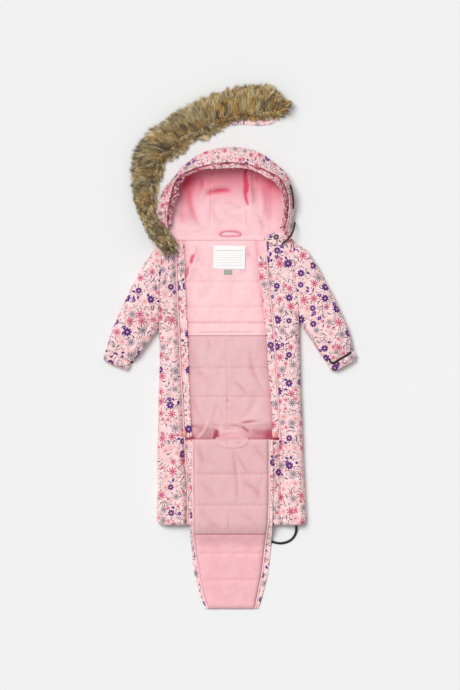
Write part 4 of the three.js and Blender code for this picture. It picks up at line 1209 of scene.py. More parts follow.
def put_flaps():
    """The wind flaps inside the zips: folded strips with a stitched edge and a soft sway."""
    for name, side in (("left", LEFT), ("right", RIGHT)):
        def near(y):
            return zip_line(side, y) - side * (ZIP_HALF + GAP)

        def free(y):
            wave = 0.9 * ripple(y, 62.0, side + 4) + 0.4 * ripple(y, 21.0, side)
            return open_edge(side, y) + wave

        edges = (near, free) if side == LEFT else (free, near)
        x, y = plan(*edges, spaced(FLAP_ENDS[name], FLAP_LOW_Y, 2.8, 0.1), 15, 0.6)
        share = np.abs(x - near(y)) / np.abs(free(y) - near(y))
        lift = (0.9 * ripple(y, 34.0, side + 7) * share
                + 0.5 * ripple(y, 9.0, side + 2) * bell(share - 1, 0.25))
        lift += folds(x, y, [(side * 112, 690, side * 122, 640, 3, 4, 1.5), (-100, 420, -118, 380, 3, 4, 1.4),
                             (112, 420, 97, 380, 3, 4, 1.4), (-96, 290, -112, 262, 2, 4, 1.6)])
        stitched = -0.7 * bell(share - 0.84, 0.06) + 0.5 * bell(share, 0.2)
        low = FLAP_Z + np.maximum(lift, -0.4)
        edge = puff(np.minimum(share, 1 - share) * 21, 1.6)
        # painted shade along the flap's edge by the zip, through "deep"
        made = wall(f"wind_flap_{name}", *heights(x, y, low + 0.5 + (FLAP_THICK - 0.5 + stitched) * edge,
                                                  low),
                    print_cloth, shift=(0.37 * side, 0.21), deep=0.1 * bell(share, 0.1))
        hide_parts(f"facing_{name}")
        declare_sheet(made, heights(x, y, low, low)[0])


put_flaps()

# %% [markdown]
# ## Zips
#
# A coil zip is a tape with a row of small teeth. One tooth is a small rounded block of eight points,
# and the whole row is made at once: the tooth's points are turned and moved to every place along the
# zip's line with array sums.

# %% Zip teeth and tapes
TOOTH_PITCH = 1.9


def blocks(middles, ways, size, lean=0.0):
    """Many small blocks: the eight corners of one, its top smaller than its foot, turned so that its
    length lies across each way, and moved to each middle."""
    half = np.array(size) / 2
    corner = np.array([(sx, sy, sz) for sz in (-1, 1) for sy in (-1, 1) for sx in (-1, 1)], float) * half
    corner[4:, :2] *= 0.72
    corner[4:, 0] += lean
    ways = ways / np.linalg.norm(ways, axis=1, keepdims=True)
    side = np.stack([-ways[:, 1], ways[:, 0], 0 * ways[:, 0]], axis=1)
    side /= np.linalg.norm(side, axis=1, keepdims=True)
    up = np.cross(side, ways) * -1
    points = (middles[:, None] + corner[None, :, 0:1] * side[:, None] + corner[None, :, 1:2] * ways[:, None]
              + corner[None, :, 2:3] * up[:, None])
    one = np.array([(0, 2, 3, 1), (4, 5, 7, 6), (0, 1, 5, 4), (2, 6, 7, 3), (0, 4, 6, 2), (1, 3, 7, 5)])
    faces = (one[None] + 8 * np.arange(len(middles))[:, None, None]).reshape(-1, 4)
    points = points.reshape(-1, 3)
    a, b, c, d = (points[faces[:6, i]] for i in range(4))
    volume = np.einsum("ij,ij->", a, np.cross(b, c)) + np.einsum("ij,ij->", a, np.cross(c, d))
    return points, faces if volume > 0 else faces[:, ::-1]


def line_places(line, pitch):
    """Even places along a polyline, and the way it runs there."""
    far = np.concatenate([[0], np.cumsum(np.linalg.norm(np.diff(line, axis=0), axis=1))])
    at = np.arange(pitch / 2, far[-1], pitch)
    places = np.stack([np.interp(at, far, line[:, k]) for k in range(3)], axis=1)
    ways = np.stack([np.interp(at, far, np.gradient(line[:, k])) for k in range(3)], axis=1)
    return places, ways


def put_zips():
    """The body zips: a flat tape along each front's edge with its coil of teeth."""
    for name, side in (("left", LEFT), ("right", RIGHT)):
        top_y = 702.0 if side == LEFT else 671.0
        y = np.linspace(top_y, 1.5 if side == LEFT else 211.0, 220)
        middle = zip_line(side, y)
        columns = np.array([-1, -0.75, 0, 0.75, 1.0]) * ZIP_HALF
        x = middle[:, None] + columns[None]
        yy = y[:, None] + 0 * x
        sag = 0.4 * ripple(yy, 60.0, side)
        top = FLAP_Z + 3.4 + 0.5 * np.array([0, 1, 1, 1, 0.0])[None] + sag
        tape = wall(f"zip_tape_{name}", *heights(x, yy, top, FLAP_Z + 0 * x), zip_tape)
        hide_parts(f"zip_{name}")
        line = np.stack([middle, y, FLAP_Z + 4.3 + sag[:, 2]], axis=1)
        places, ways = line_places(line, TOOTH_PITCH)
        points, faces = blocks(places, ways, (2.9, 1.1, 1.3))
        teeth = put_mesh(f"zip_teeth_{name}", to_row(points), faces, zip_coil, sharp=30)


put_zips()


def put_sliders():
    """The sliders of the two open zips rest at their lower ends: a rounded body."""
    for name, x, y in (("left", -111.0, 229.0), ("right", 116.5, 226.0)):
        body = [(0.05, 0), (4.4, 0), (4.8, 1.2), (4.2, 2.8), (2.4, 3.4), (0.05, 3.5)]
        radius, rise = np.array(body).T
        angle = np.linspace(0, 2 * np.pi, 33)[:-1]
        z = FLAP_Z + 4.2
        rings = np.stack([x + radius[:, None] * np.cos(angle), y + 1.75 * radius[:, None] * np.sin(angle),
                          z + rise[:, None] + 0 * angle], axis=2)
        slider = put_tube(f"zip_slider_{name}", rings, slider_coral)


put_sliders()

# %% [markdown]
# ## The folded front panel
#
# The centre front is unzipped and folded down from the crotch, so its outside lies on the legs and
# its quilted inside looks up. Past the leg hems it slopes to the floor. The print shows as a narrow
# margin outside the zip tape.

# %% Panel
PANEL_TOP_Y = 214.0
PANEL_END_Y = -209.0
PANEL_LIE_Z = 24.9
PANEL_DROP_Y = 8.0
PANEL_FLOOR_Y = -58.0
PANEL_SPLIT_Y = -23.5
PANEL_QUILTS = (128.0, 50.0, -71.0, -138.0)
PANEL_FOLDS = [
    (7, 190, 21.5, 52, 5, 5, 1.8), (16, 190, 53, 128, -4, 5, 1.8), (35, 110, 82, 65, 5, 6, 1.7),
    (-82, 200, -30, 150, -8, 10, 1.0), (60, 200, 92, 150, 5, 7, 1.2), (-80, 110, -30, 62, 6, 10, 0.9),
    (0, 40, -1, -22, 0, 2.0, 1.3), (-70, 42, -20, -10, -6, 10, 0.9), (26, 30, 76, -12, 6, 9, 1.0),
    (-76, 200, -66, 140, 3, 6, 1.0), (86, 120, 74, 60, -3, 6, 1.0), (-60, -30, -20, -66, 4, 10, 0.7),
    (30, -34, 70, -60, -4, 9, 0.7), (-50, -90, -10, -130, 5, 11, 0.7), (16, -84, 60, -128, -5, 11, 0.6),
    (-40, -150, 0, -196, 4, 9, 0.6), (54, -196, 30, -150, 4, 9, 0.6), (-30, 210, 30, 206, 0, 4, 1.4),
]


def panel_bottom(x, y):
    """The height of the panel's underside. It is level across, so x isn't used."""
    return PANEL_LIE_Z * ease((y - PANEL_FLOOR_Y) / (PANEL_DROP_Y - PANEL_FLOOR_Y))


def panel_top(x, y):
    """Top of the quilted lining: round at its edges, with a soft groove at each stitched line."""
    side = np.minimum(x - across(PANEL, "lining1", y), across(PANEL, "lining2", y) - x)
    round_off = puff(side, 12) * puff(PANEL_TOP_Y - y, 12) * puff(y - PANEL_END_Y, 12)
    quilt = 1 - 0.55 * (QUILT_DEPTH / LINING_PUFF) * (1 - quilting((*PANEL_QUILTS, PANEL_SPLIT_Y), y))
    return panel_bottom(x, y) + CLOTH + GAP + LINING_EDGE + (LINING_PUFF - 0.6) * round_off * quilt


def put_panel():
    """The folded front panel: its shell, the two linings on it, and its zip halves."""
    x, y = plan(lambda y: across(PANEL, "edge1", y), lambda y: across(PANEL, "edge2", y),
                spaced(PANEL_TOP_Y, PANEL_END_Y, 4.5, 0.1), 42, 0.9)
    margin = np.minimum(x - across(PANEL, "edge1", y), across(PANEL, "edge2", y) - x)
    lift = 0.6 * bell(margin, 5) * (1 + ripple(y, 24.0, 2.0)) * ease((PANEL_TOP_Y - y) / 20)
    low = panel_bottom(x, y)
    shell_grid = heights(x, y, low + CLOTH, low)
    shell = wall("panel_cloth", *heights(x, y, low + CLOTH + lift, low + 0.8 * lift), print_cloth,
                 shift=(0.6, 0.1))
    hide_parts("panel_shell")
    declare_sheet(shell, shell_grid[0])

    def lining_left(y):
        return across(PANEL, "lining1", y)

    def lining_right(y):
        return across(PANEL, "lining2", y)

    for name, high, low_y, material, slot_name in (
        ("mesh", PANEL_TOP_Y, PANEL_SPLIT_Y, rose_mesh, "rose_mesh"),
        ("pink", PANEL_SPLIT_Y - GAP, PANEL_END_Y, panel_rose, "panel_pink"),
    ):
        x, y = plan(lining_left, lining_right, spaced(high, low_y, 2.3, 0.15), 84, 0.5)
        bottom = panel_bottom(x, y) + CLOTH + GAP
        side = np.minimum(x - lining_left(y), lining_right(y) - x)
        inner_part = puff(side, 10) * puff(PANEL_TOP_Y - y, 6) * puff(y - PANEL_END_Y, 8)
        creases = folds(x, y, PANEL_FOLDS)
        relief = creases + 0.4 * lumps(x, y, 4.1)
        # painted shade: a little everywhere, more in fold troughs, at the linings' seam and along their sides
        deep = (0.06 + 0.25 * np.clip(-creases / 1.6, 0, 1) + 0.3 * bell(y - PANEL_SPLIT_Y, 1.5)
                + 0.2 * bell(side, 3))
        for line in (*PANEL_QUILTS, PANEL_SPLIT_Y):
            soft = 1.0 if name == "mesh" else 0.4
            relief += soft * (0.6 * bell(y - line, 8) * ripple(x, 12.0, line) - 0.8 * bell(y - line, 2.0))
            # painted shade along each quilting groove
            deep += soft * 0.18 * bell(y - line, 1.8)
        relief += 0.5 * bell(side - 5, 5) * ripple(y, 12.0, 3.0)
        top = np.maximum(panel_top(x, y) + relief * inner_part, bottom + 0.9)
        made = wall(f"panel_lining_{name}_cloth", *heights(x, y, top, bottom), material, deep=deep)
        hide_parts(f"panel_lining_{name}")

    for name, edge, lining, way in (("left", "edge1", "lining1", 1), ("right", "edge2", "lining2", -1)):
        y = spaced(PANEL_TOP_Y, PANEL_END_Y, 2.5, 0.1)
        near = across(PANEL, lining, y) - way * 3 * GAP
        wide = np.minimum(2 * ZIP_HALF, 0.6 * np.abs(across(PANEL, edge, y) - near))
        far = near - way * wide
        x = mix(np.minimum(near, far)[:, None], np.maximum(near, far)[:, None], np.linspace(0, 1, 5)[None])
        yy = y[:, None] + 0 * x
        base = panel_bottom(x, yy) + CLOTH + GAP
        top = base + 0.5 + np.array([0.1, 0.6, 0.6, 0.6, 0.1])[None]
        tape = wall(f"panel_zip_tape_{name}", *heights(x, yy, top, base), zip_tape)
        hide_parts(f"panel_zip_{name}")
        line = np.stack([far + way * wide * 0.35, y, top[:, 2] + 0.4], axis=1)
        places, ways = line_places(line, TOOTH_PITCH)
        points, faces = blocks(places, ways, (1.9, 1.1, 1.2))
        teeth = put_mesh(f"panel_zip_teeth_{name}", to_row(points), faces, zip_coil, sharp=30)


put_panel()

# %% [markdown]
# The gusset bridges the back lining and the panel's lining where the panel folds over.

# %% The crotch gusset
def put_gusset():
    """A half ellipse of mesh over the panel's hinge, from the back lining up to the panel's lining.
    Its edges thin out into both, and its stitched lower arc is only a line of painted shade."""
    u = edge_steps(48, 0.6)[None, :]
    v = edge_steps(36, 0.3)[:, None]
    arch = np.sqrt(np.clip(1 - (2 * u - 1) ** 2, 0, 1))
    x = mix(-34, 48, u) + 0 * v
    y = mix(217 + 6 * arch, 206 - 15 * arch, v)
    low = mix(panel_top(x, np.minimum(y, 206)) - 0.5, 9.0, ease((y - 208) / 14))
    creases = folds(x, y, GUSSET_FOLDS)
    edge = puff(np.minimum(1 - v, 0.12 + v) * 30 * arch + 0.02, 4.0)
    thick = 0.5 + 1.0 * edge + np.minimum(creases, 1.2) * edge
    sink = -1.6 * (1 - puff(v * 26 + 0 * u, 9))
    # painted shade in fold troughs, along the upper edge and as the line along the stitched lower arc
    deep = (0.25 * np.clip(-creases / 1.2, 0, 1) + 0.3 * bell(v, 0.1)
            + 0.3 * bell((1 - v) * 26 * arch - 1.2, 0.8))
    made = wall("crotch_gusset_cloth", *heights(x, y, low + sink + thick, low + sink), rose_mesh, deep=deep)
    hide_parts("crotch_gusset")
    declare_sheet(made, heights(x, y, low, low)[0])


GUSSET_FOLDS = [
    (-30, 214, 44, 216, 3, 3, 1.6), (-6, 221, -2, 196, 0, 3, 1.0), (20, 220, 30, 200, 2, 4, 1.0),
    (-24, 212, 2, 206, 2, 3, 0.9), (10, 207, 40, 211, -2, 3, 0.9),
]
put_gusset()

# %% [markdown]
# ## Sleeves and cuffs
#
# A sleeve lies flat and hollow: its section has a flat underside, a rounded top and a slit inside.
# The ring of a section is worked out from an angle, its width and its height, and the sections are
# carried from the armhole to the gathers. The cuff is drawn in by elastic, so its ring ripples.

# %% Sleeve rings
SLIT = 3.4
SLEEVE_FOLDS = {
    "left": [
        (-191, 603, -178, 578, 2, 3.0, 4.0), (-187, 517, -212, 474, -3, 4, 2.4),
        (-200, 560, -186, 530, 3, 6, 1.8),
        (-214, 640, -196, 612, -3, 6, 1.6), (-236, 590, -214, 560, 4, 7, 1.5),
        (-228, 520, -250, 500, 4, 6, 1.5),
        (-262, 540, -240, 500, -5, 8, 1.4), (-238, 470, -252, 440, 3, 5, 2.0),
        (-282, 480, -262, 452, 4, 6, 1.7),
        (-296, 462, -288, 440, 2, 4, 2.0), (-270, 446, -262, 424, 2, 4, 2.2),
        (-252, 436, -250, 414, 1, 3, 2.2),
        (-284, 446, -280, 428, 1, 3, 2.0), (-205, 690, -190, 668, 2, 6, 1.4),
    ],
    "right": [
        (178, 507, 206, 458, 3, 4, 2.4), (186, 600, 198, 560, 3, 6, 1.7), (206, 650, 192, 622, 3, 6, 1.5),
        (230, 600, 212, 566, -4, 7, 1.5), (252, 560, 236, 524, 4, 8, 1.4), (214, 520, 232, 492, -4, 6, 1.6),
        (270, 520, 258, 486, 3, 6, 1.6), (236, 462, 250, 434, 2, 5, 2.0), (288, 480, 280, 452, 3, 6, 1.6),
        (300, 460, 296, 438, 1, 4, 2.0), (262, 446, 266, 422, 1, 4, 2.0), (282, 452, 286, 430, 1, 3, 2.0),
        (192, 686, 184, 664, 2, 6, 1.4), (176, 560, 182, 528, 2, 5, 1.8),
    ],
}


def sleeve_rings(rows, t, height, lift, sides, ripples):
    """Outer and inner rings. With c = cos(angle), s = sin(angle): sideways sign(c) |c|^0.6 of half
    the width, up |s|^0.75 of the height over a level at 0.34 of it, and never below the lift."""
    made = along(rows, t)
    ox, oy, ix, iy = (made[k][:, None] for k in ("ox", "oy", "ix", "iy"))
    half = np.hypot(ix - ox, iy - oy) / 2
    cx, cy = (ox + ix) / 2, (oy + iy) / 2
    dx, dy = (ix - ox) / 2 / half, (iy - oy) / 2 / half
    height, lift = height[:, None], lift[:, None]
    level = 0.34 * height
    low = 0.33 * height + lift / 2
    angle = (2 * np.pi * np.arange(sides) / sides)[None, :]
    c, s = np.cos(angle), np.sin(angle)
    away = np.sign(c) * np.abs(c) ** 0.6
    over = (height - level) * np.abs(s) ** 0.75 + ripples * s
    below = np.minimum(1.3 * level * np.abs(s) ** 0.75, level - lift)
    up = np.where(s > 0, over, -below)
    inside = away * (half - np.minimum(9, 0.3 * half))
    outer = np.stack([cx + dx * away * half, cy + dy * away * half, level + up], axis=2)
    inner = np.stack([cx + dx * inside, cy + dy * inside, low + SLIT / 2 + SLIT / 2 * s + 0 * cx], axis=2)
    return outer, inner, s


def ring_flat(outer):
    """The flat map of a sleeve: each ring is laid off both ways from its top point, in the plan
    direction across the sleeve."""
    sides = outer.shape[1]
    top = sides // 4
    closed = np.concatenate([outer, outer[:, :1]], axis=1)
    far = np.concatenate([np.zeros((len(outer), 1)),
                          np.cumsum(np.linalg.norm(np.diff(closed, axis=1), axis=2), axis=1)], axis=1)
    far = far - far[:, top:top + 1]
    way = (outer[:, top // 2] - outer[:, top + top // 2])[:, None, :2]
    way = way / np.linalg.norm(way, axis=2, keepdims=True)
    return (outer[:, top][:, None, :2] - way * far[..., None]) / 1000


def put_sleeves():
    """Each sleeve with its cuff, as rings round a flattened tube."""
    for name in ("left", "right"):
        rows, sides = SLEEVES[name], 96
        t = np.linspace(0, 1, 112)
        height = FRONT_TOP + 3 * np.sin(np.pi * t) - 5 * ease((t - 0.8) / 0.2)
        outer, inner, s = sleeve_rings(rows, t, height, 2.3 * ease((t - 0.8) / 0.1), sides, 0)
        x, y = outer[..., 0], outer[..., 1]
        upper = puff(np.clip(s, 0, 1), 0.5)
        from_hole = np.hypot(x - outer[0][None, :, 0], y - outer[0][None, :, 1])
        gathers = bell(1 - t, 0.1)[:, None] * ripple(np.arange(sides)[None, :] + 0 * x, 8.5, 1.3)
        creases = 1.5 * folds(x, y, SLEEVE_FOLDS[name])
        relief = creases + 1.1 * lumps(x, y, 3.3, 52) + 1.3 * gathers
        relief += 0.7 * bell(from_hole - 5, 6) * ripple(y, 16.0, 2.0) - 1.4 * bell(from_hole, 4)
        outer[..., 2] += relief * upper
        wide_ripple = 0.9 * np.abs(np.cos(2 * np.pi * np.arange(sides) / sides)) ** 4 * (1 - upper)
        side_shift = wide_ripple * ripple(t[:, None] * 320 + 0 * x, 17.0, 4.0)
        centre = outer.mean(1, keepdims=True)
        out_way = outer - centre
        out_way[..., 2] = 0
        out_way /= np.maximum(np.linalg.norm(out_way, axis=2, keepdims=True), 1e-6)
        outer += out_way * side_shift[..., None]
        outer[..., 2] = np.maximum(outer[..., 2], 0)
        # painted shade in the deeper fold troughs and along the armhole seam, on the upper side
        deep = (0.8 * np.clip((-creases - 1.4) / 3.5, 0, 1) + 0.12 * bell(from_hole, 3)) * upper
        made = wall(f"sleeve_cloth_{name}", outer, inner, print_cloth, ring=True,
                    flat=ring_flat(outer), shift=(0.05 if name == "left" else 0.47, 0.33), deep=deep)
        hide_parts(f"sleeve_{name}")

        rows, sides = CUFFS[name], 120
        t = np.linspace(0, 1, 34)
        turn = 2 * np.pi * np.arange(sides) / sides
        pulls = (0.9 * np.cos(8 * turn) + 0.5 * np.cos(19 * turn + 2 * np.sin(3 * turn)))[None, :]
        height = 18 + 3.5 * np.sin(np.pi * t) - 2 * t
        outer, inner, s = sleeve_rings(rows, t, height, 2.3 * ease((0.7 - t) / 0.35), sides,
                                       pulls * (1 - 0.4 * t)[:, None])
        squeeze = (-1.1 * bell(t - 0.1, 0.09) - 0.8 * bell(t - 0.8, 0.08))[:, None] * (s > 0) * np.abs(s)
        outer[..., 2] += squeeze
        tuck = bell(t, 0.04)[:, None, None] * np.array([0.6 if name == "left" else -0.6, 1.3, -0.6]) * 2.2
        outer = outer + tuck
        made = wall(f"cuff_cloth_{name}", outer, inner, print_cloth, ring=True,
                    flat=ring_flat(outer), shift=(0.27 if name == "left" else 0.71, 0.13))
        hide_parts(f"cuff_{name}")


put_sleeves()

# %% [markdown]
# A little lining shows past each cuff, where the hand comes out.

# %% The lining at the cuffs' ends
def put_cuff_linings():
    """A thin strip of lining that shows at the end of each cuff."""
    for name in ("left", "right"):
        start, end = along(CUFFS[name], 0.75), along(CUFFS[name], 1.0)
        f = mix(0.26, 0.74, edge_steps(40, 0.4))[None, :]
        reach = mix(0, 1.45, np.linspace(0, 1, 16))[:, None]
        back_x, back_y = mix(start["ox"], start["ix"], f), mix(start["oy"], start["iy"], f)
        front_x, front_y = mix(end["ox"], end["ix"], f), mix(end["oy"], end["iy"], f)
        x, y = mix(back_x, front_x, reach), mix(back_y, front_y, reach)
        low = 6.7 + 0.15 * (1 + np.sin(f * 90)) * reach
        made = wall(f"cuff_lining_cloth_{name}", *heights(x, y, low + 1.2, low), rose_mesh)
        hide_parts(f"cuff_lining_{name}")
        declare_sheet(made, heights(x, y, low, low)[0])


put_cuff_linings()

# %% [markdown]
# ## The hood
#
# The hood lies on its back with its brim standing up round the opening. A point of it is found from
# t, the way round the brim, and v, the way from the neck seam over the floor and up to the brim's
# fold. Moving the same points inwards along the surface's normal gives the fleece lining. The facing
# runs from the brim's fold back down to the lining, with a dip between, where the fur zips on; the
# dip's dark line is painted shadow.

# %% Hood points
BRIM_LOW = 18.0
BRIM_RISE = 40.0
HOOD_NECK_Y = 716.6
HOOD_INSET = 30.0
HOOD_PADDING = 4.5


def hood_point(t, v):
    """Seven guide points for each t, from the neck to the brim, and a smooth curve through them."""
    row = along(HOOD, t)
    ox, oy, bx, by, nx = (row[k] for k in ("ox", "oy", "bx", "by", "nx"))
    brim = BRIM_LOW + BRIM_RISE * np.sin(np.pi * np.clip(t, 0, 1))
    far = np.hypot(ox - nx, oy - HOOD_NECK_Y)
    foot = 1 - np.minimum(HOOD_INSET / far, 0.45)
    side = 1 - np.minimum(8 / far, 0.15)
    guide = {"x": [], "y": [], "z": []}
    for share, z in ((0 * foot, 0), (foot * 0.33, 0), (foot * 0.67, 0), (foot, 0), (side, 0.17)):
        guide["x"].append(mix(nx, ox, share))
        guide["y"].append(mix(HOOD_NECK_Y, oy, share))
        guide["z"].append(z * brim)
    for px, py, z in ((ox, oy, 0.5), (bx, by, 1.0)):
        guide["x"].append(px)
        guide["y"].append(py)
        guide["z"].append(z * brim)
    s = np.clip(v, 0, 1) * 6
    i = np.minimum(np.floor(s).astype(int), 5)
    f = s - i
    weights = [(-f + 2 * f**2 - f**3) / 2, (2 - 5 * f**2 + 3 * f**3) / 2,
               (f + 4 * f**2 - 3 * f**3) / 2, (f**3 - f**2) / 2]
    point = []
    for k in "xyz":
        stack = np.stack([np.broadcast_to(g, t.shape) for g in guide[k]])
        point.append(sum(w * np.take_along_axis(stack, np.clip(i + n, 0, 6)[None], 0)[0]
                         for w, n in zip(weights, (-1, 0, 1, 2))))
    point[2] = np.maximum(point[2], 0)
    return np.stack(point, axis=-1)


def hood_normal(t, v):
    """Unit direction into the bowl: the way round crossed with the way up."""
    e = 0.004
    way_round = hood_point(np.minimum(t + e, 1), v) - hood_point(np.maximum(t - e, 0), v)
    way_up = hood_point(t, np.minimum(v + e, 1)) - hood_point(t, np.maximum(v - e, 0))
    normal = np.cross(way_round, way_up)
    return normal / np.maximum(np.linalg.norm(normal, axis=-1, keepdims=True), 1e-9)


def hood_inside(t, v, depth):
    return hood_point(t, v) + hood_normal(t, v) * np.asarray(depth)[..., None]


def brim_puckers(t, v):
    """Ripples across the brim where its elastic draws it in, strongest at both lower sides."""
    pull = 0.35 + 0.65 * (bell(t - 0.2, 0.12) + bell(t - 0.82, 0.1))
    return pull * (bell(v - 0.9, 0.1) * ripple(t * 640, 13.0, 2.0) * 1.3)


LINING_FOLDS = [
    (43, 893, 49, 797, -3, 4.2, 7.5), (44, 850, 48, 806, -2, 5.5, 4.0), (-64, 826, 10, 836, 4, 7, 4.2),
    (-97, 837, -60, 732, -12, 10, 2.2),
    (100, 850, 100, 750, 4, 9, 2.0), (-45, 884, -45, 738, 0, 1.8, 1.4), (45, 790, 45, 738, 0, 1.8, 1.2),
    (40, 794, 4, 790, 4, 5, 1.4), (-20, 800, 50, 752, -10, 10, 1.2), (70, 845, 76, 780, -3, 8, 1.5),
    (-118, 800, -104, 742, -5, 7, 1.5), (-76, 858, -70, 820, 3, 6, 1.6), (74, 760, 92, 736, 3, 4, 1.6),
    (-96, 730, -60, 724, 3, 6, 1.0),
]


# creases drawn only as painted shade in the fleece; its relief comes from LINING_FOLDS
HOOD_PAINTED_CREASES = [
    (43, 896, 46, 846, -2, 3.2, 2.0), (46, 866, 41, 826, 3, 5.0, 1.5), (43, 834, 50, 798, -3, 3.0, 1.3),
    (-60, 827, 6, 836, 5, 6.0, 0.42), (-97, 837, -60, 734, -12, 7.0, 0.16),
    (-42, 812, -12, 752, -12, 6.0, 0.18),
    (86, 846, 84, 752, 6, 7.0, 0.3), (58, 790, 84, 724, 8, 6.0, 0.22), (-70, 722, -112, 716, 6, 6.0, 0.22),
    (-14, 806, 30, 790, 6, 5.0, 0.16), (-72, 872, -66, 836, 3, 5.0, 0.3), (70, 880, 66, 850, 3, 5.0, 0.2),
    (-45, 884, -45, 738, 0, 1.4, 0.16), (45, 800, 45, 738, 0, 1.4, 0.14),
]


def put_hood():
    """The hood's shell, its fleece lining and the facing inside the brim."""
    t = np.linspace(0, 1, 164)[None, :]
    v = edge_steps(72, 0.0)[:, None] ** 0.9
    tt, vv = np.broadcast_arrays(t, v)
    relief = brim_puckers(tt, vv) - 0.8 * bell(vv - 0.95, 0.012)
    relief += 0.9 * bell(vv - 0.82, 0.12) * lumps(tt * 620, vv * 190, 2.0, 70)
    outer = hood_inside(tt, vv, -relief)
    inner = hood_inside(tt, vv, CLOTH - 0.4 + 0 * tt)
    outer[..., 2] = np.maximum(outer[..., 2], 0)
    # painted shade: dark streaks from a ripple across the brim's lower sides, with no relief under them
    painted_crease_shade = np.abs(ripple(tt * 640 + 5 * np.sin(vv * 60), 15.0, 1.0))
    painted_crease_shade = np.clip(1 - painted_crease_shade / 0.32, 0, 1) * (bell(tt - 0.17, 0.1) + 0.6 * bell(tt - 0.82, 0.08))
    # painted shade also in the troughs of the brim's puckers
    deep = 0.3 * np.clip(-relief / 1.4, 0, 1) + 0.9 * painted_crease_shade * ease((vv - 0.8) / 0.1)
    shell = wall("hood_cloth", outer, inner, print_cloth, flat=lay_flat(hood_point(tt, vv), 58, 1.25),
                 shift=(0.11, 0.77), deep=deep)
    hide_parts("hood_shell")
    declare_sheet(shell, hood_point(tt, vv))

    t = np.linspace(1 / 24, 23 / 24, 190)[None, :]
    v = np.linspace(0, 0.86, 88)[:, None]
    tt, vv = np.broadcast_arrays(t, v)
    lower = hood_inside(tt, vv, CLOTH + 0.45 + 0 * tt)
    plain = hood_inside(tt, vv, CLOTH + 0.45 + HOOD_PADDING + 0 * tt)
    relief = 1.5 * folds(plain[..., 0], plain[..., 1], LINING_FOLDS)
    relief += 0.5 * lumps(plain[..., 0], plain[..., 1], 5.0)
    relief = np.maximum(relief * puff(vv, 0.12) * puff(0.86 - vv, 0.06), -3.9)
    upper = hood_inside(tt, vv, CLOTH + 0.45 + HOOD_PADDING + relief)
    px, py = plain[..., 0], plain[..., 1]
    # painted shade under the brim at the back and down both sides
    deep = 0.62 * ease((py - 788) / 80) + 0.3 * bell(px - 112, 28) * ease((py - 735) / 60)
    deep += 0.42 * bell(px + 108, 26) * ease((py - 740) / 40)
    # painted shade in fold troughs and along painted creases with no relief
    deep += 0.22 * np.clip((-relief - 0.3) / 3.0, 0, 1) + np.clip(-folds(px, py, HOOD_PAINTED_CREASES), 0, 2)
    # painted shadow in a ring round the hanging loop
    deep += 0.3 * bell((np.hypot((px - 2.5) / 27, (py - 728.5) / 8.5) - 1) * 8.5, 1.6)
    lining = wall("hood_lining_fleece", upper, lower, hood_fleece, deep=deep)
    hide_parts("hood_lining")

    f = edge_steps(24, 0.3)[:, None]
    t = np.linspace(1 / 24, 23 / 24, 230)[None, :]
    tt, ff = np.broadcast_arrays(t, f)
    row = along(HOOD, tt)
    fold = hood_inside(tt, 1 + 0 * tt, CLOTH + 0.9 + 0 * tt)
    spread = np.hypot(row["lx"] - fold[..., 0], row["ly"] - fold[..., 1])
    z = fold[..., 2] + 1 - 0.3 * spread * ff
    sink = 3.2 * bell(ff * spread - 1.0, 2.6) * (1 - ff)
    pull = 0.4 + 1.3 * (bell(tt - 0.2, 0.13) + bell(tt - 0.82, 0.11))
    waves = 1.5 * ripple(tt * 640 + 9 * ff, 13.0, 4.0) + 1.5 * ripple(tt * 640 - 30 * ff, 23.0, 1.0)
    waves = pull * (waves + 0.9 * ripple(tt * 900 + 25 * ff, 9.0, 2.0) * np.sin(np.pi * ff)) * puff(ff, 0.3)
    sway = ff + pull * ff * (2.2 * ripple(tt * 640, 37.0, 5.0)
                             + 1.6 * ripple(tt * 640 + 14 * ff, 17.0, 2.0)) / spread
    grid = np.stack([mix(fold[..., 0], row["lx"], sway), mix(fold[..., 1], row["ly"], sway),
                     z + waves - sink], axis=2)
    under = grid.copy()
    under[..., 2] -= CLOTH
    # painted shadow along the dip where the fur zips on; painted shade in wave troughs and ripple streaks
    painted_channel_width = 2.3 + 1.5 * ripple(tt * 640, 47.0, 1.0)
    painted_channel_darkness = 1.5 + 0.8 * ripple(tt * 640, 71.0, 4.0)
    painted_channel_shadow = painted_channel_darkness * bell(ff * spread - 2.0 - 2.4 * ripple(tt * 640, 53.0, 2.0), painted_channel_width)
    painted_crease_shade = np.abs(ripple(tt * 640 + 26 * ff * np.sin(tt * 70), 17.0, 3.0) - 0.3 * ripple(ff * 40, 9.0, 2.0))
    painted_crease_shade = 1.7 * np.clip(1 - painted_crease_shade / 0.42, 0, 1) * np.clip(pull - 0.3, 0, 1) * ease(ff / 0.2)
    deep = 0.5 * np.clip(-waves / 1.8, 0, 1) * np.minimum(pull, 1) + painted_channel_shadow + painted_crease_shade
    facing = wall("hood_facing_cloth", grid, under, print_cloth, flat=lay_flat(grid, 12, 1.0),
                  shift=(0.83, 0.29), deep=deep)
    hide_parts("hood_facing")
    declare_sheet(facing, grid)


put_hood()

# %% [markdown]
# The small sewn pieces round the neck lie on the linings and on the right front.

# %% The chin corner, tape, loop and labels
TAB = table("x low high", [(90, 713, 719), (100, 706, 726), (112, 701, 730), (126, 699, 731),
                           (138, 702, 727), (147, 710, 719)])


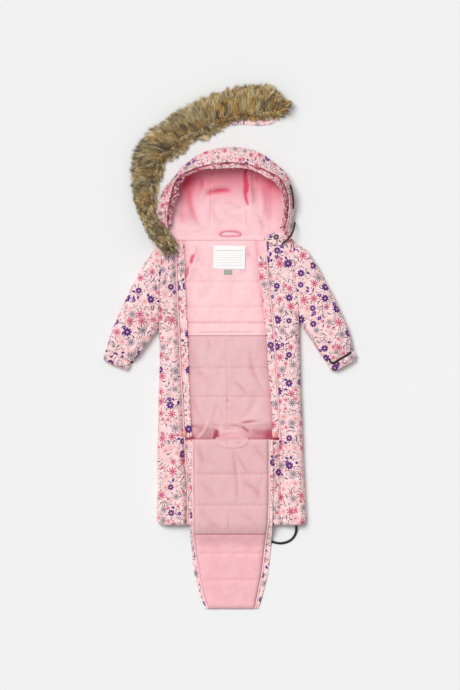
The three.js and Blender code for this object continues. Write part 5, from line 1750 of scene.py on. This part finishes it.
def put_tab():
    """The corner at the chin, which lies on the right front."""
    u = np.linspace(0, 1, 60)[None, :]
    v = edge_steps(34, 0.6)[:, None]
    row = along(TAB, u)
    x = row["x"] + 0 * v
    y = mix(row["low"], row["high"], v)
    bottom = FRONT_TOP + 0.5 + 0 * x
    relief = folds(x, y, [(98, 708, 122, 726, 2, 3, 1.4), (112, 702, 140, 708, 1, 2.5, 1.2),
                          (130, 726, 142, 712, 0, 3, 1.0)])
    top = FRONT_TOP + 3.5 + np.sin((x - 90) / 57 * np.pi) + relief
    top = np.maximum(bottom + 0.8, mix(bottom + 0.8, top, puff(np.minimum(v, 1 - v) + 0 * x, 0.16)))
    made = wall("chin_corner_cloth", *heights(x, y, top, bottom), print_cloth, shift=(0.17, 0.61))
    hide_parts("hood_tab")
    declare_sheet(made, heights(x, y, top, bottom)[1])


put_tab()


def put_labels():
    """The neck tape, the care label, the size tag and the hanging loop."""
    on_hood = CLOTH + 0.45 + HOOD_PADDING + GAP
    u, v = np.linspace(0, 1, 90)[None, :], edge_steps(12, 0.5)[:, None]
    x, y = mix(-136, 88, u) + 0 * v, mix(722, 711.5, v) + 0.5 * ripple(mix(-136, 88, u), 40.0, 2.0)
    low = on_hood + 0 * x
    top = low + 0.3 + 1.2 * puff(v + 0 * x, 0.3) * puff(1 - v, 0.8) + 0.15 * ripple(x, 9.0, 1.0)
    tape = wall("neck_tape_cloth", *heights(x, y, top, low), upper_pink)
    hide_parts("neck_tape")
    declare_sheet(tape, heights(x, y, top, low)[1])

    label_z = CLOTH + GAP + LINING_EDGE + LINING_PUFF + GAP
    turn = math.tan(math.radians(1.2))
    u, v = np.linspace(0, 1, 36)[None, :], np.linspace(0, 1, 26)[:, None]
    x, y = mix(-39, 40, u) + 0 * v, mix(698, 640, v) + 0 * u
    low = label_z + 0.5 * (1 + np.sin(x / 17 + 0.5) * np.sin(y / 21)) * puff(698.5 - y, 9)
    x, y = x + (y - 669) * turn, y - x * turn
    label = wall("label_cloth", *heights(x, y, low + 0.5, low), label_satin, shift=(-0.0005, -0.669))
    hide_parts("name_label")
    declare_sheet(label, heights(x, y, low, low)[0])
    u, v = np.linspace(0, 1, 20)[None, :], np.linspace(0, 1, 14)[:, None]
    x, y = mix(-12, 7, u) + 0 * v, mix(638, 626, v) + 0 * u
    low = label_z + 0.3 * (1 + np.sin(x / 5)) * puff(638 - y, 5)
    tag = wall("size_tag_cloth", *heights(x, y, low + 0.5, low), tag_satin)
    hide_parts("size_tag")
    declare_sheet(tag, heights(x, y, low, low)[0])

    loop, _ = smooth_route([(-22, 724, 0), (-20, 731, 0), (-11, 734.5, 0), (4, 735, 0), (18, 734, 0),
                            (26, 730, 0), (27, 725, 0), (20, 722.5, 0), (4, 722, 0), (-14, 722, 0),
                            (-21.5, 723.5, 0)], 110)
    loop[:, 2] = on_hood + 1.1
    band = put_tube("hang_loop_band", tube(loop, 5.0, 1.9, 14), thread_pink)
    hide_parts("hang_loop")


put_labels()

# %% [markdown]
# ## Snaps, ring and elastics
#
# Snaps and the chin's ring are turned parts: a profile swept round an axis. The cuff elastics are
# flat bands along a curve, lying on the cloth; they and the brim's cord stay as the CAD model's
# solids and are only made black.

# %% Turned parts and bands
def put_lathe(name, profile, place, material, sides=40):
    """A closed ring of profile points (radius, height) swept round an upright axis at place."""
    radius, rise = np.array(profile, float).T
    angle = 2 * np.pi * np.arange(sides) / sides
    grid = np.stack([place[0] + radius[:, None] * np.cos(angle)[None],
                     place[1] + radius[:, None] * np.sin(angle)[None],
                     place[2] + rise[:, None] + 0 * angle[None]], axis=2)
    count = len(profile)
    r, c = np.meshgrid(np.arange(count), np.arange(sides), indexing="ij")
    next_r, next_c = (r + 1) % count, (c + 1) % sides
    faces = quads(r * sides + c, r * sides + next_c, next_r * sides + next_c, next_r * sides + c)
    points = grid.reshape(-1, 3)
    a, b, cc, d = (points[faces[:, i]] - np.array(place) for i in range(4))
    volume = np.einsum("ij,ij->", a, np.cross(b, cc)) + np.einsum("ij,ij->", a, np.cross(cc, d))
    return put_mesh(name, to_row(points), faces if volume > 0 else faces[:, ::-1], material, sharp=35)


def put_hardware():
    """The snaps and the eyelet as turned profiles, and black for the elastics of the CAD that stay."""
    for name, r in (("left", 3.8), ("right", 4.8)):
        low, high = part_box(f"snap_{name}")
        place = (np.array([(low.x + high.x) / 2, (low.y + high.y) / 2, low.z]) * 1000 - MOVED)
        profile = [(0.05, 0), (r, 0), (r, 0.6), (0.92 * r, 1.1), (0.7 * r, 1.25), (0.6 * r, 0.95),
                   (0.5 * r, 1.3),
                   (0.3 * r, 1.75), (0.05, 1.85)]
        snap = put_lathe(f"snap_{name}_cap", profile, place, snap_plastic)
        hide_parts(f"snap_{name}")
    low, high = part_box("eyelet")
    place = np.array([(low.x + high.x) / 2, (low.y + high.y) / 2, low.z]) * 1000 - MOVED
    turn = np.linspace(0, 2 * np.pi, 16, endpoint=False)
    profile = [(4.6 + 1.6 * math.cos(a), 1.0 + 1.0 * math.sin(a)) for a in turn]
    ring = put_lathe("chin_ring", profile, place, dark_metal)
    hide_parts("eyelet")
    for node in ("cuff_strap_right", "cuff_strap_left", "brim_cord"):
        shown = frame["nodes"][node]
        shown.data.materials.clear()
        shown.data.materials.append(black_elastic)


put_hardware()

# %% [markdown]
# ## The fur ruff
#
# The ruff lies in a long bow from the hood's left corner. Its fur is some tens of thousands of thin
# tapered strands. Each strand grows from the strip, follows the ruff's rounded top outwards, and
# ends in a point near its lock's point, because fur gathers into locks. All of them are worked out
# together as arrays: root, direction, length and lock are drawn from one seeded generator. Two
# attributes say how far along its strand a point is, and which tint the strand has.

# %% The ruff's shape
FUR_HEIGHT = 34.0


def fur_place(t, f):
    """Plan of the ruff: a share t along it and f across it, from its inner edge to its outer one."""
    row = along(FUR, t)
    return np.stack([mix(row["ix"], row["ox"], f), mix(row["iy"], row["oy"], f)], axis=-1)


def fur_way(t):
    """Unit way along the ruff in plan."""
    e = 0.01
    way = fur_place(np.minimum(t + e, 1), 0.5) - fur_place(np.maximum(t - e, 0), 0.5)
    return way / np.linalg.norm(way, axis=-1, keepdims=True)


def fur_base(t):
    return np.maximum(along(FUR, t)["base"], 0) + CLOTH + GAP


def fur_rise(t, f):
    """Height of the pile over its base: 34 * (1 - |2 f - 1|^2.4)^0.6, lower at both ends."""
    ends = 0.35 + 0.65 * puff(np.minimum(t, 1 - t), 0.06)
    return 1.5 + FUR_HEIGHT * ends * np.clip(1 - np.abs(2 * np.clip(f, 0, 1) - 1) ** 2.4, 0, 1) ** 0.6


# %% [markdown]
# A strand's colour goes from a dark root over a tan shaft to its tip, and changes in patches.

# %% Fur material
def fur_finish(name, under=False):
    """Dark roots, tan and golden shafts, dark or pale tips, in patches along the ruff."""
    made = Finish(name, roughness=0.5, sheen=0.2)
    if under:
        dark = made.noise(made.object_place(), 90.0, 3.0)
        return made.finish(made.mix(dark, "57493a", "8a744f"), dark, 0.004, 1.0)
    reach, tint, patch = made.attribute("reach"), made.attribute("tint"), made.attribute("patch")
    shaft = made.mix(patch, "a99a72", "d8a64c")
    shaft = made.mix(made.step(tint, 0.55, 0.95), shaft, "e0cb9c")
    shaft = made.mix(made.step(tint, 0.35, 0.1), shaft, "6d5c44")
    tone = made.mix(made.step(reach, 0.0, 0.34), "54483a", shaft)
    tip = made.mix(made.step(tint, 0.5, 0.75), "1f1812", "e6d6ae")
    tone = made.mix(made.calc("MULTIPLY", made.step(reach, 0.66, 0.95), 0.8), tone, tip)
    return made.finish(tone)


fur_strands_look = fur_finish("fur_strands")
fur_under_look = fur_finish("fur_under_pile", under=True)

# %% [markdown]
# Strands grow in locks. Each is a flat ribbon that leans and bends the way its lock does.

# %% Strands
LEAN = ([0, 0.08, 0.25, 0.45, 0.65, 0.85, 0.95, 1], [-4, -9, -14, -7, 2, 8, 8, 3])


def put_strands(name, count, lock_count, seed, width, tall):
    """Ribbons of four rows of points, gathered into locks. A lock has a root place, a reach across
    the ruff, a height and a tint. With s = j / 3, point j of a strand lies a share s of the way from
    its own root to the lock's tip, plus a small spread at the tip, and at a height that climbs with
    sin(pi s / 2) to the lock's share of the pile's height."""
    rng = np.random.default_rng(seed)
    lock_t = (np.arange(lock_count) + rng.random(lock_count)) / lock_count
    lock_f = 0.66 * rng.random(lock_count) ** 1.25
    reach_f = 0.3 + 0.2 * rng.random(lock_count) + 0.12 * (1 - lock_f)
    tip_f = np.minimum(lock_f + reach_f, 0.84 + 0.15 * rng.random(lock_count) ** 1.5)
    inward = (lock_f < 0.22) & (rng.random(lock_count) < np.where(lock_t < 0.66, 0.45, 0.3))
    tip_f = np.where(inward, lock_f - (0.06 + 0.2 * rng.random(lock_count))
                     * np.where(lock_t < 0.66, 1, 0.6), tip_f)
    tip_f += np.where(rng.random(lock_count) < 0.22, 0.08, 0.0) * (tip_f > 0.82)
    lean = (np.interp(lock_t, *LEAN) + rng.normal(0, 8, lock_count)
            + 5 * (lock_t > 0.95) * rng.normal(0.0, 1, lock_count))
    lock_spread = 0.4 + 1.9 * rng.random(lock_count)
    lock_high = tall * (0.62 + 0.43 * rng.random(lock_count))
    lock_tint = np.clip(0.5 + 0.3 * rng.normal(0, 1, lock_count), 0, 1)

    k = rng.integers(0, lock_count, count)
    length_mm = np.linalg.norm(np.diff(fur_place(np.linspace(0, 1, 200), 0.5), axis=0), axis=1).sum()
    t0 = np.clip(lock_t[k] + rng.normal(0, 5.0, count) / length_mm, 0.004, 0.996)
    f0 = np.abs(lock_f[k] + rng.normal(0, 0.06, count)) + 0.005
    s = np.linspace(0, 1, 4)[None, :]
    pull = (s ** 1.4)
    t = t0[:, None] + (lock_t[k] - t0)[:, None] * 0.8 * pull
    f = f0[:, None] + (tip_f[k] - f0)[:, None] * s**0.9 + rng.normal(0, 0.03, count)[:, None] * s
    along_mm = lean[k][:, None] * s**1.3 + (lock_spread[k] * rng.normal(0, 1, count))[:, None] * s
    plan_xy = fur_place(t, f) + fur_way(t) * along_mm[..., None]
    high = (lock_high[k] * (0.85 + 0.2 * rng.random(count)))[:, None]
    rise = fur_rise(t, f) * high
    climb = 0.2 + 0.8 * np.sin(np.pi / 2 * np.clip(1.6 * s, 0, 1))
    z = fur_base(np.clip(t, 0, 1)) + rise * climb + (1.5 + 2.0 * rng.normal(0, 1, count)[:, None]) * s**2
    line = np.concatenate([plan_xy, np.maximum(z, 1.0)[..., None]], axis=2)

    step_way = np.gradient(line, axis=1)
    up = np.stack([rng.normal(0, 0.5, count), rng.normal(0, 0.5, count), np.ones(count)], axis=1)
    across_way = np.cross(step_way, up[:, None])
    across_way /= np.maximum(np.linalg.norm(across_way, axis=2, keepdims=True), 1e-9)
    thick = width * (0.7 + 0.6 * rng.random(count))[:, None] * np.array([1.0, 1.05, 0.85])[None]
    left = line[:, :3] - across_way[:, :3] * thick[..., None] / 2
    right = line[:, :3] + across_way[:, :3] * thick[..., None] / 2
    flat = np.concatenate([left, right, line[:, 3:]], axis=1).reshape(-1, 3)
    base = 7 * np.arange(count)[:, None, None]
    strip = np.array([(i, i + 1, i + 4, i + 3) for i in range(2)])[None] + base
    tip = np.array([(2, 6, 5)])[None] + base
    loops = np.concatenate([strip.reshape(count, 8), tip.reshape(count, 3)], axis=1)
    starts = (np.arange(count)[:, None] * 11 + np.array([0, 4, 8])[None]).ravel()
    mesh = bpy.data.meshes.new(name)
    mesh.vertices.add(len(flat))
    mesh.vertices.foreach_set("co", to_row(flat).astype(np.float32).ravel())
    mesh.loops.add(loops.size)
    mesh.loops.foreach_set("vertex_index", loops.ravel().astype(np.int32))
    mesh.polygons.add(len(starts))
    mesh.polygons.foreach_set("loop_start", starts.astype(np.int32))
    mesh.polygons.foreach_set("use_smooth", np.ones(len(starts), bool))
    mesh.update(calc_edges=True)
    if mesh.polygons[1].normal.z < 0:
        mesh.flip_normals()
    share = np.array([0, 1, 2, 0, 1, 2, 3])[None] / 3
    start = (0.34 * np.clip(1 - f0 / 0.16, 0, 1))[:, None]
    share = start + (1 - start) * share
    patch = np.interp(t0, [0, 0.15, 0.4, 0.6, 0.75, 1], [0.3, 0.4, 0.25, 0.5, 0.75, 0.65])
    patch = np.clip(patch + 0.35 * np.sin(t0 * 61 + 3 * np.sin(t0 * 17) + 5 * f0), 0, 1)
    tint = np.clip(lock_tint[k] + 0.12 * rng.normal(0, 1, count), 0, 1)
    for key, values in (("reach", share.ravel()), ("tint", np.repeat(tint, 7)),
                        ("patch", np.repeat(patch, 7))):
        attribute = mesh.attributes.new(key, "FLOAT", "POINT")
        attribute.data.foreach_set("value", values.astype(np.float32))
    mesh.materials.append(fur_strands_look)
    made = bpy.data.objects.new(name, mesh)
    bpy.context.scene.collection.objects.link(made)
    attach(made, "root")
    print(name, count * 5, "triangles")
    return made


put_strands("fur_strands_deep", 21500, 1500, 3, 1.25, 0.85)
put_strands("fur_strands_middle", 21500, 1200, 4, 1.0, 0.95)
put_strands("fur_strands_top", 22500, 800, 5, 0.9, 1.0)


def put_under_pile():
    """The dense short fur under the strands: the pile's own shape at two thirds of its height."""
    t = np.linspace(0.01, 0.985, 170)[:, None]
    f = mix(0.07, 0.78, edge_steps(26, 0.5))[None, :]
    tt, ff = np.broadcast_arrays(t, f)
    xy = fur_place(tt, ff)
    low = fur_base(tt)
    top = low + 0.62 * fur_rise(tt, ff) + 1.6 * ripple(tt * 520, 9.0, 1.0) * np.sin(np.pi * ff)
    upper = np.concatenate([xy, np.maximum(top, low + 0.8)[..., None]], axis=2)
    lower = np.concatenate([xy, low[..., None]], axis=2)
    made = wall("fur_under_pile", upper, lower, fur_under_look)
    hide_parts("fur_trim")

    f = np.linspace(0, 1, 14)[None, :]
    row = along(FUR, t)
    wide = np.hypot(row["ox"] - row["ix"], row["oy"] - row["iy"])
    ff = mix(-row["show"] / wide, 0.5, f)
    xy = fur_place(t + 0 * ff, ff)
    low = np.maximum(row["base"], 0) + 0.5 * (1 + ripple(t * 520, 30.0, 2.0)) * (1 - f) * (row["show"] > 1.5)
    upper = np.concatenate([xy, (low + 1.6 + 0 * ff)[..., None]], axis=2)
    lower = np.concatenate([xy, (low + 0 * ff)[..., None]], axis=2)
    backing = wall("fur_backing_cloth", upper, lower, print_cloth, shift=(0.44, 0.52))
    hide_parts("fur_backing")
    declare_sheet(backing, upper)


put_under_pile()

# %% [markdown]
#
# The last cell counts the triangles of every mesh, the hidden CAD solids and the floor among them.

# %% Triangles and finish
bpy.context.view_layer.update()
triangles = sum(len(p.vertices) - 2 for o in bpy.data.objects if o.type == "MESH" for p in o.data.polygons)
print("triangles with the hidden CAD solids and the floor:", triangles)
